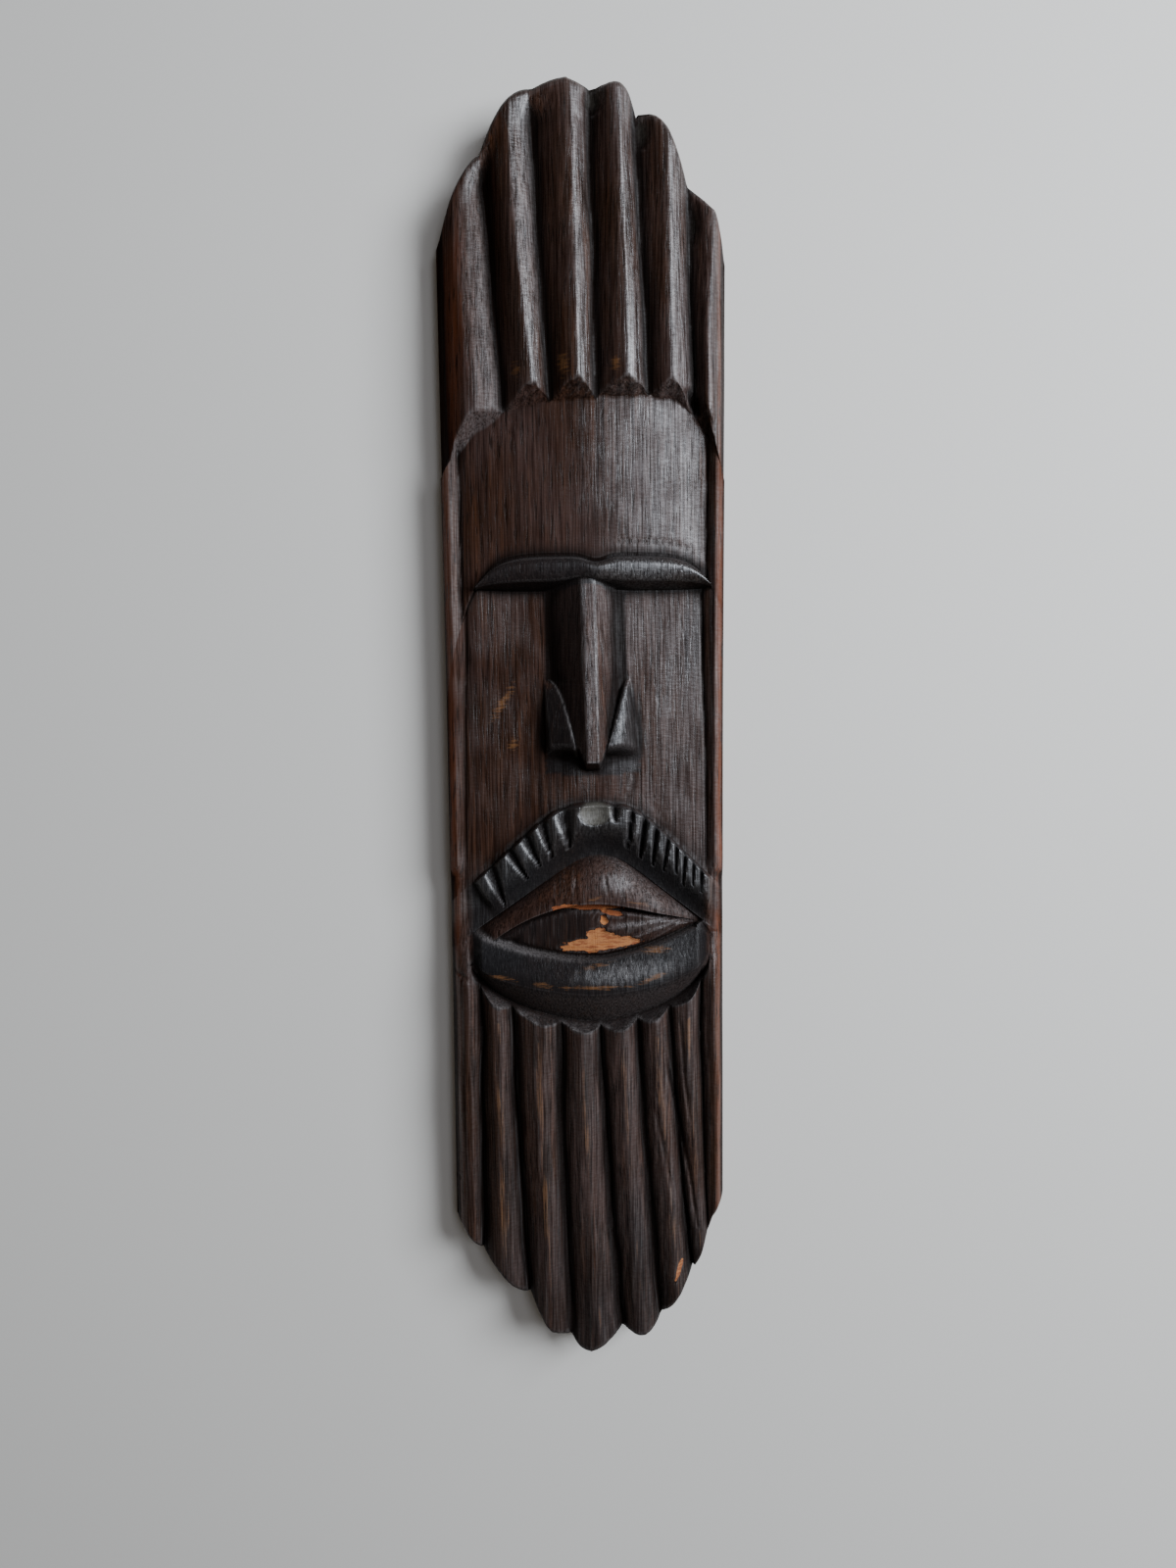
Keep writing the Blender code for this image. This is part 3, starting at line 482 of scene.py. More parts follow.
notches = {
    "rows": (
        (-42.4, -33.8, -32.4, -63.0, 0.45, 1.2),
        (-34.1, -27.5, -22.7, -52.2, 0.45, 1.2),
        (-27.9, -20.4, -18.0, -46.7, 0.45, 1.3),
        (-20.8, -13.8, -13.3, -43.7, 0.42, 1.3),
        (-13.4, -3.0, -6.3, -39.8, 0.38, 1.4),
        (8.6, 15.1, 11.2, -29.1, 0.40, 1.3),
        (17.1, 19.9, 16.5, -39.7, 0.50, 4.0),
        (21.8, 25.2, 21.5, -43.6, 0.50, 4.0),
        (26.6, 29.6, 26.1, -47.2, 0.50, 3.0),
        (31.5, 33.9, 30.4, -49.2, 0.50, 3.0),
        (34.8, 36.8, 35.4, -51.2, 0.50, 3.0),
        (38.3, 40.3, 38.1, -56.7, 0.50, 3.0),
        (41.8, 43.5, 42.0, -56.0, 0.50, 3.0),
        (44.8, 46.8, 45.5, -57.6, 0.50, 3.0),
    ),
    "depth": 4.3,
    "full": 3.4,  # a narrower notch is shallower
    "fade": 0.9,  # distance from the upper edge in which a notch deepens
    "rounding": 0.6,
    "margin": 3,
    "scoopX": 3.6,  # hollow in the middle
    "scoopY": -24.4,
    "scoopWide": 6.8,
    "scoopHigh": 5.2,
    "scoopDepth": 2.4,
}


def roof(x, edge):
    out = abs(x - edge["x"]) - edge["flat"]
    soft = (out + math.hypot(out, edge["round"])) / 2
    return edge["top"] - soft * edge["left" if x < edge["x"] else "right"]


@remember
def moustacheEdges(x):
    return roof(x, moustache["upper"]), roof(x, moustache["lower"])


@remember
def notchTop(number):
    row = notches["rows"][number]
    return moustacheEdges((row[0] + row[1]) / 2)[0]


# depth of the deepest notch here: 0 outside them all, 1 on the floor of a wide one
def notchDepth(x, y):
    deep = 0
    for number, (left, right, endX, endY, steep, late) in enumerate(notches["rows"]):
        if not min(left, endX) - notches["margin"] < x < max(right, endX) + notches["margin"]:
            continue
        top = notchTop(number)
        down = min(max((top - y) / (top - endY), 0), 1)
        width = (right - left) * (1 - down ** late)
        if width > 0:
            place = (x - mix((left + right) / 2, endX, down)) / width + 0.5
            wall = place / steep if place < steep else (1 - place) / (1 - steep)
            full = min((right - left) / notches["full"], 1) * math.sqrt(1 - down ** late)
            deep = max(deep, mix(max(wall, 0), smooth(0, 1, wall), notches["rounding"]) * full)
    return deep


# 0 in the middle of the scoop, 1 on its rim
def scoopAway(x, y):
    away = math.hypot((x - notches["scoopX"]) / notches["scoopWide"],
                      (y - notches["scoopY"]) / notches["scoopHigh"])
    return away + 0.10 * uneven(x, y, 3, 3, 7.7)


def moustacheHeight(x, y):
    upper, lower = moustacheEdges(x)
    if not lower < y < upper:
        return 0
    cheek = cheekHeight(x, y)
    share = (upper - y) / (upper - lower)
    top = moustache["height"] - moustache["fall"] * across(x, y) ** 2
    top -= moustache["innerDrop"] * smooth(moustache["bend"], 1, share)
    top = mix(cheek, top, smooth(0, moustache["step"], upper - y))
    top -= notches["depth"] * notchDepth(x, y) * smooth(0, notches["fade"], upper - y)
    left = x - moustache["leftEnd"] - moustache["leftLean"] * (upper - y)
    top = mix(cheek, top, smooth(-moustache["runout"], 0, min(left, moustache["rightEnd"] - x)))
    return top - notches["scoopDepth"] * max(1 - scoopAway(x, y) ** 2, 0)


# Mouth and lips

mouth = {
    "x": 4.0,
    "corner": 41,  # out from the middle
    "upper": -61.2,  # lower edge of the upper lip in the middle
    "upperBends": ((-14.5, 2.2), (-8.3, 1.5)),  # rise to each corner, and how late
    "lower": -82.8,  # upper edge of the lower lip in the middle
    "lowerBends": ((7.3, 2.0), (13.4, 1.5)),
    "height": 19.5,
    "edgeDrop": 1.5,
    "cornerX": 41.5,  # where the knife cuts inside the mouth meet
    "cornerY": -67.3,
    "fan": 0.20,  # angle from one cut to the next
    "fanTurn": 0.35,
    "fanFull": 18,  # distance from the corner at which the facets are whole
    "facetSteep": 0.2,  # share of a facet taken by its steep side
    "facets": 0.9,
    "splits": 0.30,  # depth of the upright splits in the left half
    "chipDepth": 0.55,
    "chipEdge": 0.16,
}

lips = {
    "line": 17.5,  # thickness along the lip line
    "upper": 23.5,
    "upperFull": 12,  # an upper lip narrower than this is lower
    "upperFullness": 0.8,
    "inner": 21.5,
    "crest": 25.5,
    "foot": 15.5,
    "bend": 1.2,
    "fall": 5.5,
    "x": 3.0,
    "left": 50.5,  # ends of the lower lip, out from its middle
    "right": 46.5,
    "leftY": -75.5,
    "rightY": -73.5,
    "bottomLine": -110,
    "crestLine": -96.5,
    "outBend": 1.5,
    "downBend": 3.0,
    "fade": 6,
    "cutFade": 3,
    "beardCut": 2.3,  # steepness of the cut above each lock of the beard
    "beardStart": -65,
    "beardComplete": -96.5,
    "headRough": 0.5,  # unevenness of that cut
    "least": 1.0,
}


@remember
def mouthEdges(x):
    out = abs(x - mouth["x"]) / mouth["corner"]
    side = 0 if x < mouth["x"] else 1
    upperRise, upperBend = mouth["upperBends"][side]
    lowerRise, lowerBend = mouth["lowerBends"][side]
    return mouth["upper"] + upperRise * out ** upperBend, mouth["lower"] + lowerRise * out ** lowerBend


@remember
def lipCurve(x, bottom):
    left = x < lips["x"]
    end = lips["left"] if left else lips["right"]
    level = lips["leftY"] if left else lips["rightY"]
    out = min(abs(x - lips["x"]) / end, 1)
    return level - (level - bottom) * (1 - out ** lips["outBend"]) ** (1 / lips["downBend"])


def lipBottom(x):
    return lipCurve(x, lips["bottomLine"])


def lipCrest(x):
    return lipCurve(x, lips["crestLine"])


def lipReach(x, fade):
    left, right = lips["x"] - lips["left"], lips["x"] + lips["right"]
    return min(smooth(left, left + fade, x), smooth(-right, fade - right, -x))


def lipFoot(x, y):
    return lips["foot"] - lips["fall"] * across(x, y) ** 2


# facets that fan out from the right corner of the mouth, splits in its left half
def mouthFacets(x, y):
    away = max(mouth["cornerX"] - x, 0.5)
    saw = (math.atan2(y - mouth["cornerY"], away) / mouth["fan"] + mouth["fanTurn"]) % 1
    steep = mouth["facetSteep"]
    ridge = min(saw / (1 - steep), (1 - saw) / steep) * min(away / mouth["fanFull"], 1)
    splits = mouth["splits"] * uneven(x, y, 0.8, 8, 6.1) * smooth(8, -4, x)
    plain = 1 - smooth(-0.15, 0.1, chipShare(x, y))
    return (mouth["facets"] * ridge * smooth(-2, 10, x) + splits) * plain


def mouthHeight(x, y, upper, lower):
    near = min(upper - y, y - lower)
    hollow = mouth["edgeDrop"] * bell(near, 2)
    return mouth["height"] - hollow + mouthFacets(x, y) * smooth(0, 3, near)


def lipsHeight(x, y, around):
    lipLine = moustacheEdges(x)[1]
    upper, lower = mouthEdges(x)
    outer = lipBottom(x)
    if y > lipLine or y < outer:
        return around
    crest = min(lipCrest(x), lower - lips["least"])
    if y > upper and y > lower:
        breadth = max(lipLine - max(upper, lower), lips["least"])
        peak = mix(lips["line"], lips["upper"], smooth(0, lips["upperFull"], breadth))
        top = mix(lips["line"], peak, quarterWave((lipLine - y) / breadth, lips["upperFullness"]))
    elif y > lower:
        top = mouthHeight(x, y, upper, lower)
    elif y > crest:
        top = mix(lips["inner"], lips["crest"], quarterWave((lower - y) / (lower - crest), 1))
    else:
        share = min((crest - y) / max(crest - outer, lips["least"]), 1)
        top = mix(lips["crest"], lips["foot"], share ** lips["bend"])
    top -= lips["fall"] * across(x, y) ** 2
    return mix(around, top, lipReach(x, lips["fade"]))


# Cut under the hair

hairCut = {
    "middle": 134.5,  # upper edge of the forehead above the nose
    "rise": 3.5,
    "leftDrop": 25,  # how far its corners come down, and how late
    "rightDrop": 34,
    "leftCorner": 3.4,
    "rightCorner": 5.5,
    "slopeLeft": 0.85,
    "slopeRight": 1.15,
    "reach": 18,  # the locks are whole this far above the edge
    "scrapes": 0.60,  # marks of the chisel on the cut
    "rough": 1.1,  # unevenness of its lower edge
    "fineRough": 0.4,
}


@remember
def hairline(x, y):
    side = x / halfWidth(y)
    if side < 0:
        fall = hairCut["leftDrop"] * (-side) ** hairCut["leftCorner"]
    else:
        fall = hairCut["rightDrop"] * side ** hairCut["rightCorner"]
    rough = hairCut["rough"] * uneven(x, 0, 5.5, 1, 3.9)
    rough += hairCut["fineRough"] * uneven(x, 0, 1.8, 1, 8.2)
    return hairCut["middle"] + hairCut["rise"] * side - fall + rough


def cutSlope(x, y):
    return mix(hairCut["slopeLeft"], hairCut["slopeRight"], (x / halfWidth(y) + 1) / 2)


def upperFace(x, y):
    edge = hairline(x, y)
    if y > edge + hairCut["reach"]:
        return hairHeight(x, y)
    panel = panelHeight(foreheadHeight(x, y), x, y)
    if y <= edge:
        return panel
    cut = panel + cutSlope(x, y) * (y - edge)
    cut += hairCut["scrapes"] * uneven(x + y, y - x, 4, 1.6, 12.4) * smooth(0, 2, y - edge)
    return min(hairHeight(x, y), cut)


def lowerFace(x, y):
    cheek = panelHeight(cheekHeight(x, y), x, y)
    if y > lips["beardStart"]:
        return cheek
    outer = lipBottom(x)
    locks = beardHeight(x, y)
    if y < outer:
        start = lipFoot(x, y) + lips["beardCut"] * (outer - y)
        start += lips["headRough"] * uneven(x, y, 2.2, 1.4, 4.5) * smooth(0, 1.5, outer - y)
        locks = mix(locks, min(locks, start), lipReach(x, lips["cutFade"]))
    return mix(cheek, locks, smooth(lips["beardStart"], lips["beardComplete"], y))


# Cracks, scratches and knife cuts: from x, y to x, y, width and depth

scars = (
    (19.6, -9.6, 18.3, -14.6, 0.7, 1.0),  # crack beside the right nostril
    (18.3, -14.6, 17.0, -19.6, 0.6, 0.9),
    (19.6, -13.5, 36.0, -33.0, 0.5, 0.25),  # fine scratches under it
    (22.5, -14.0, 37.5, -28.0, 0.4, 0.2),
    (-53.5, -88.6, -48.0, -91.6, 0.8, 1.0),  # nick in the left edge
    (45.0, -68.5, 49.8, -75.0, 0.6, 0.8),  # split at the right corner of the mouth
    (0.9, 101.1, 3.9, 104.7, 0.5, 0.25),  # scratches on the forehead
    (-35.2, 126.5, -30.8, 117.3, 0.5, 0.3),
    (-30.5, 124.0, -26.0, 120.5, 0.6, 0.35),
    (-33.5, 118.5, -32.5, 109.0, 0.5, 0.25),
    (-28.5, 128.5, -24.0, 124.5, 0.6, 0.3),
    (-1.4, 237.2, -0.6, 234.6, 0.7, 0.5),  # small V in the third lock
    (-0.6, 234.6, 0.5, 237.6, 0.7, 0.5),
    (51.2, 171.8, 54.0, 170.4, 0.5, 0.5),  # tick in the last lock
    (40.8, 136.0, 44.6, 130.4, 2.2, 4.0),  # deep cut at the right end of the hairline
    (44.6, 130.4, 49.5, 122.6, 1.8, 2.6),
    (9.0, -60.6, 5.2, -68.5, 0.5, 0.8),  # chisel marks in the mouth
    (6.6, -61.4, 2.8, -68.2, 0.5, 0.7),
    (4.4, -62.0, 0.6, -67.6, 0.4, 0.5),
    (-12.0, -49.0, -11.6, -57.5, 0.5, 0.7),  # splits in the upper lip
    (-7.6, -47.0, -7.4, -56.5, 0.5, 0.6),
    (-4.2, -46.0, -4.4, -58.0, 0.4, 0.6),
    (7.2, -49.5, 8.4, -56.5, 0.5, 0.6),
    (-31.0, -77.5, -28.0, -75.0, 1.6, 1.4),  # pit at the left corner of the mouth
    (30.6, -122.0, 35.0, -141.0, 0.8, 1.1),  # thin grooves in the right locks of the beard
    (35.0, -141.0, 38.6, -160.0, 0.8, 1.2),
    (38.6, -160.0, 41.6, -178.0, 0.8, 1.2),
    (41.6, -178.0, 44.0, -196.0, 0.8, 1.0),
    (27.0, -146.0, 31.0, -165.0, 0.6, 0.7),
    (31.0, -165.0, 34.6, -184.0, 0.6, 0.7),
    (37.5, -110.0, 38.5, -130.0, 0.7, 0.9),
    (38.5, -130.0, 41.0, -150.0, 0.7, 0.9),
)
scarReach = 22  # longer than any of them

# rough hollows where a groove runs out at the end: x, y, width, height, depth

pits = (
    (5.4, 243.5, 4.6, 5.5, 1.6),
    (24.0, 232.5, 3.6, 7.0, 1.3),
    (43.6, 199.0, 2.6, 9.0, 0.9),
    (-53.5, -176.0, 2.0, 1.4, 0.5),
)


def scarDepth(x, y):
    deep = 0
    for startX, startY, endX, endY, width, depth in scars:
        if max(abs(x - startX), abs(y - startY)) > scarReach:
            continue
        runX, runY = endX - startX, endY - startY
        share = ((x - startX) * runX + (y - startY) * runY) / (runX * runX + runY * runY)
        share = min(max(share, 0), 1)
        away = math.hypot(x - startX - share * runX, y - startY - share * runY)
        if away < 3 * width:
            deep += depth * bell(away, width) * (1 - abs(share - 0.5))
    return deep


@remember
def pitDepth(x, y):
    deep = 0
    for middleX, middleY, wide, high, depth in pits:
        away = math.hypot((x - middleX) / wide, (y - middleY) / high)
        if away < 1:
            rough = 1 + 0.5 * uneven(x, y, 0.9, 0.9, 2.2)
            deep = max(deep, depth * (1 - away ** 2) * rough)
    return deep


def chatterDepth(x, y):
    start, end = face["chatterEnds"]
    if not start < x < end:
        return 0
    tooth = face["chatterTooth"] * abs(x / face["chatterStep"] % 2 - 1)
    line = browEdges(x)[0] + face["chatterUp"] + tooth
    return face["chatter"] * bell(y - line, 0.5) * smooth(start, start + 10, x)


# Bare and rubbed wood: x, y, half length, half height, turn in degrees

chips = (
    (4.8, -77.2, 15.6, 3.2, 4),
    (5.5, -73.6, 6.2, 2.7, -8),
    (14.5, -77.0, 7.0, 1.5, 4),
    (6.8, -67.8, 1.7, 2.0, 20),
    (9.8, -64.7, 4.6, 0.9, -10),
    (1.0, -62.0, 13.5, 1.5, -3),
    (-6.5, -61.6, 7.0, 1.3, 4),
    (37.2, -212.6, 0.9, 2.8, -22),
    (36.2, -215.6, 1.1, 2.6, -12),
    (35.4, -218.4, 0.6, 1.8, -25),
)

rubbed = (
    (-34.3, -89.8, 7.0, 1.1, -8),
    (-17.5, -92.6, 5.0, 1.2, -8),
    (2.0, -93.6, 17.0, 1.0, 0),
    (26.0, -90.2, 8.0, 1.3, 22),
    (26.5, -79.4, 7.4, 1.7, 4),
    (4.0, -85.5, 11.0, 0.9, 12),
    (3.0, -58.3, 4.0, 0.8, 14),
    (20.0, -60.2, 5.0, 0.9, -14),
    (-32.5, 19.0, 2.0, 9.0, -32),
    (-28.4, 3.0, 2.0, 3.0, -25),
    (-24.8, 144.5, 2.2, 3.6, 0),
    (-6.8, 146.0, 2.4, 4.4, 0),
    (12.8, 146.5, 2.2, 4.2, 0),
)

# painted sheen: places of worn wood painted light grey as the sheen the light leaves on them

sheenPatches = (
    (17.0, -88.0, 25.0, 5.4, 6),
    (11.5, -52.8, 9.0, 4.4, -16),
    (23.0, -69.6, 17.0, 3.4, 2),
)


# how far inside the nearest of these ovals a point is: 1 in the middle, 0 on the rim
def insideOvals(ovals, x, y):
    best = -1
    for middleX, middleY, wide, high, turn in ovals:
        offX, offY = x - middleX, y - middleY
        if abs(offX) < wide + high + 2 and abs(offY) < wide + high + 2:
            cos, sin = math.cos(math.radians(turn)), math.sin(math.radians(turn))
            alongX, alongY = offX * cos + offY * sin, offY * cos - offX * sin
            best = max(best, 1 - math.hypot(alongX / wide, alongY / high))
    return best


def chipShare(x, y):
    if y < -150:
        return insideOvals(chips, x, y) + 0.45 * uneven(x, y, 0.6, 3, 1.7)
    ragged = 0.34 * uneven(x, y, 5.0, 0.9, 1.7) + 0.24 * uneven(x, y, 1.8, 0.45, 5.2)
    return insideOvals(chips, x, y) + ragged


# The whole front

def frontHeight(x, y, lowest, highest):
    if y > browEdges(x)[0]:
        height = upperFace(x, y) - chatterDepth(x, y)
    else:
        around = lowerFace(x, y)
        parts = (browHeight, noseHeight, wingHeight, moustacheHeight)
        height = max(around, *(part(x, y) for part in parts))
        if y < moustacheEdges(x)[1]:
            height = lipsHeight(x, y, around)
            height -= mouth["chipDepth"] * smooth(0, mouth["chipEdge"], chipShare(x, y))
    side = 1 - min((halfWidth(y) - abs(x)) / plank["sideRound"], 1)
    end = 1 - min(min(highest - y, y - lowest) / plank["endRound"], 1)
    if y < browEdges(x)[0] + 3:
        height -= browCut(x, y)
    height -= max(plank["sideDrop"] * side * side, plank["endDrop"] * end * end)
    height += plank["waves"] * uneven(x, y, 16, 34, 9.9)
    height -= scarDepth(x, y) + pitDepth(x, y)
    return min(max(height, plank["sideHeight"]), cadHigh.z / mm)


# Rows follow the carved lines that cross the mask, and columns follow the grooves

def hairFoot(x):
    edge = hairline(x, hairCut["middle"])
    panel = max(foreheadHeight(x, edge), rimHeight(x, edge))
    return edge + max(hairHeight(x, edge) - panel, 0) / cutSlope(x, edge)


def beardHead(x):
    edge = lipBottom(x)
    return edge - max(beardHeight(x, edge) - lipFoot(x, edge), 0) / lips["beardCut"]


fineness = {
    "columns": 180,
    "bands": (  # rows, and zones of columns: 0 beard, 1 face, 2 hair
        (116, 0.0, 0.0),
        (10, 0.0, 0.0),
        (16, 0.0, 0.1),
        (16, 0.1, 0.2),
        (22, 0.2, 0.4),
        (22, 0.4, 0.6),
        (62, 0.6, 0.9),
        (12, 0.9, 1.0),
        (6, 1.0, 1.0),
        (62, 1.0, 1.0),
        (22, 1.0, 1.1),
        (44, 1.1, 2.0),
        (12, 2.0, 2.0),
        (78, 2.0, 2.0),
    ),
    "faceColumns": (7, 8, 50, 11, 12, 6, 12, 11, 48, 8, 7),
    "lineGap": 0.9,
    "places": 1200,
}


def carvedLines(x):
    upperMouth, lowerMouth = mouthEdges(x)
    upperBand, lowerBand = moustacheEdges(x)
    browTop, browFoot = browEdges(x)
    tipEnd = nose["tip"] - (nose["tipHeight"] - face["cheek"]) / nose["endSlope"]
    lines = [
        bottomEdge(x), beardHead(x), lipBottom(x), lipCrest(x),
        lowerMouth, upperMouth, lowerBand, upperBand, tipEnd, nose["tip"], browFoot, browTop,
        hairline(x, hairCut["middle"]), hairFoot(x), topEdge(x),
    ]
    for index in range(len(lines) - 2, 0, -1):
        lines[index] = min(lines[index], lines[index + 1] - fineness["lineGap"])
    return lines


def faceLines(y):
    half = halfWidth(y)
    crest = half - face["rimCrestIn"]
    foot = crest - (face["rim"] - face["cheek"]) / face["rimSlope"]
    middle = noseMiddle(y)[0]
    (leftWing, leftBase), (rightWing, rightBase) = wingLines(y)
    halfCrest = nose["crestWidth"] / 2
    left = [middle - out for out in (leftBase, leftWing, halfCrest)]
    right = [middle + out for out in (halfCrest, rightWing, rightBase)]
    return [-half, -crest, -foot] + left + right + [foot, crest, half]


# the carved lines at x, read between places that stand close together
def linesAt(x, table):
    place = min(max((x / plank["width"] + 0.5) * (len(table) - 1), 0), len(table) - 1.001)
    before, after = table[int(place)], table[int(place) + 1]
    return [mix(low, high, place % 1) for low, high in zip(before, after)]


def spread(lines, counts, share):
    column = share * sum(counts)
    for index, count in enumerate(counts):
        if column <= count or index == len(counts) - 1:
            return mix(lines[index], lines[index + 1], min(column / count, 1))
        column -= count


def columnX(share, y, zone):
    faceX = spread(faceLines(y), fineness["faceColumns"], share)
    locks = hairLines(y) if zone > 1 else beardLines(y)
    lockX = spread(locks, [1] * (len(locks) - 1), share)
    return mix(faceX, lockX, zone - 1) if zone > 1 else mix(lockX, faceX, zone)


def rowPlaces():
    places = []
    bands = fineness["bands"]
    for band, (rows, lowZone, highZone) in enumerate(bands):
        for row in range(rows):
            places.append((band, row / rows, mix(lowZone, highZone, row / rows)))
    places.append((len(bands) - 1, 1, bands[-1][2]))
    return places


def carveFront(carving):
    places = rowPlaces()
    rows = len(places) - 1
    columns = fineness["columns"]
    steps = fineness["places"]
    table = [carvedLines((step / steps - 0.5) * plank["width"]) for step in range(steps + 1)]
    bmesh.ops.create_grid(carving, x_segments=columns, y_segments=rows, size=1)
    grid = {}
    for vert in carving.verts:
        column = round((vert.co.x + 1) / 2 * columns)
        row = round((vert.co.y + 1) / 2 * rows)
        band, up, zone = places[row]
        lines = linesAt((column / columns - 0.5) * plank["width"], table)
        y = mix(lines[band], lines[band + 1], up)
        x = columnX(column / columns, y, zone)
        lines = linesAt(x, table)
        y = mix(lines[band], lines[band + 1], up)
        vert.co = (x * mm, y * mm, frontHeight(x, y, lines[0], lines[-1]) * mm)
        grid[column, row] = vert
    return grid, columns, rows


# Sides and back

sides = {
    "rings": (0.84, 0.66, 0.48, 0.30),  # heights between the front edge and the back
    "bulge": 0.35,  # unevenness of the planed sides
}


def borderOf(mesh):
    return [edge for edge in mesh.edges if edge.is_boundary]


def extrudeBorder(carving):
    made = bmesh.ops.extrude_edge_only(carving, edges=borderOf(carving))["geom"]
    return [item for item in made if isinstance(item, bmesh.types.BMVert)]


def closeBack(carving):
    base = plank["sideHeight"] * mm
    for share in sides["rings"]:
        for vert in extrudeBorder(carving):
            vert.co.z = base * share
            dent = sides["bulge"] * uneven(vert.co.y / mm, vert.co.z / mm, 19, 6, 15.1)
            vert.co.x *= 1 - abs(dent) * mm / (plank["width"] * mm / 2)
    chamfer = plank["backChamfer"]
    for level, inward in ((chamfer, plank["chamferTop"]), (0, chamfer)):
        for vert in extrudeBorder(carving):
            vert.co.x *= 1 - inward / (plank["width"] / 2)
            vert.co.y *= 1 - inward / halfLength
            vert.co.z = level * mm
    bmesh.ops.contextual_create(carving, geom=borderOf(carving))
    bmesh.ops.recalc_face_normals(carving, faces=carving.faces)


# Attributes for the finish, one number a point

finish = {
    "sharpAngle": 60,
    "window": 9,  # half width in columns, and half height in rows, of the
    "windowRows": 5,  # neighbourhood that a groove's depth is measured in
    "depthScale": 1.6,  # millimetres below the neighbourhood that count as full
    "edgeScale": 0.10,  # millimetres above the nearest points that count as an edge
    "crestRub": 0.72,  # how far the crests of the beard are rubbed
    "rubWidth": 2.2,
    "warmSide": 0.48,  # redder wood on the left lock
    "pitDust": 0.35,
    "redEnd": 0.3,  # redness of the chip at the end of the beard
    "under": 0.98,  # share of the sides' height below which they count as sides
    "underEdge": {  # on the sides and the back
        "side": 0.55, "hollow": 0, "edge": 0, "stainAndShade": 0, "bare": -1, "rubbed": -1, "paleWearAndHighlight": 0,
        "dust": 0, "matt": 0.4, "gloss": 0.5,
    },
}

# how black the surface is made: mostly black stain, and painted shade on the left flank of the nose
stainAndShade = {
    "brow": 0.85,
    "wings": 0.9,
    # painted shade: the left flank of the nose faces away from the light and is made near black
    "leftFlank": 0.55,  # of the nose
    "underNose": 0.9,
    "beardHeads": 0.75,
    "lipFoot": 0.62,
    "lipFade": 2.5,
    "mouth": (0.75, 0.3),  # its left and its right half
    "upperLip": 0.45,
    "beardEnds": 0.45,
    "beardPatches": 0.35,
}


def stainAndShadeShare(x, y):
    upper, lower = moustacheEdges(x)
    if lower < y < upper and y < moustache["upper"]["top"]:
        end = min(x - moustache["leftEnd"] + 6, moustache["rightEnd"] + 2 - x)
        return smooth(0, 1.2, upper - y) * smooth(0, 4, end)
    browTop, browFoot = browEdges(x)
    if browFoot < y < browTop + 0.4 and abs(x - brow["middle"]) < brow["leftReach"] + 2:
        return stainAndShade["brow"]
    off = x - noseMiddle(y)[0]
    if nose["tip"] - 5 < y < wings["top"] and abs(off) < wings["base"]:
        (left, _), (right, base) = wingLines(y)
        if off < 1 - left or right - 1 < off < base + 1:
            return stainAndShade["wings"] * smooth(wings["top"], wings["top"] - 5, y)
    # painted shade on the left flank of the nose
    if nose["tip"] - 5 < y < browFoot and -nose["leftBase"] < off < -1:
        return stainAndShade["leftFlank"]
    if nose["tip"] - 6 < y < nose["tip"] and abs(off) < 12:
        return stainAndShade["underNose"]
    upperMouth, lowerMouth = mouthEdges(x)
    outer = lipBottom(x)
    reach = lipReach(x, stainAndShade["lipFade"])
    if beardHead(x) - 1 < y <= outer:
        return stainAndShade["beardHeads"] * reach
    if outer < y < lowerMouth:
        crest = lipCrest(x)
        return reach * mix(stainAndShade["lipFoot"], 1, smooth(crest - 4, crest + 1, y))
    if lowerMouth <= y <= upperMouth:
        return mix(*stainAndShade["mouth"], smooth(-6, 8, x))
    if y < outer:
        patches = stainAndShade["beardPatches"] * uneven(x, y, 9, 30, 91.3)
        return max(stainAndShade["beardEnds"] * smooth(-150, -225, y) + patches, 0)
    if max(upperMouth, lowerMouth) < y < lower:
        return reach * stainAndShade["upperLip"] * smooth(6, 0, lower - y)
    return 0


# thin broken line along the crest of each lock of the beard
def rubbedShare(x, y):
    share = insideOvals(rubbed, x, y)
    if y < lipBottom(x) - 10:
        index, place, width = lockShare(beardLines(y), x)
        off = abs(place - beard["crest"]) * width + 0.6 * uneven(0, y, 1, 9, index * 4.3)
        along = (0.42 + 1.2 * uneven(0, y, 1, 34, 40 + index * 9.1)) * smooth(-225, -195, y)
        if 0 < index < len(beard["grooves"]):
            share = max(share, finish["crestRub"] * min(along, 1) - off / finish["rubWidth"])
    return share


# how pale the scraped ends of the locks and other worn places are, and how strong the painted highlights
# and sheen are
wearAndHighlights = {
    "sheenPatches": 0.30,
    "lipRim": (0.4, 0.9),  # rim of the lower lip, right and left
    "lipRimWidth": (0.6, 1.3),
    "lipFoot": 0.24,
    "beardHeads": 0.22,
    "beardRims": 0.5,
    "hairFoot": 0.4,
    "brow": 0.5,
    "leftRim": 0.4,
    "leftRimLength": 40,
    "wing": 0.8,
}


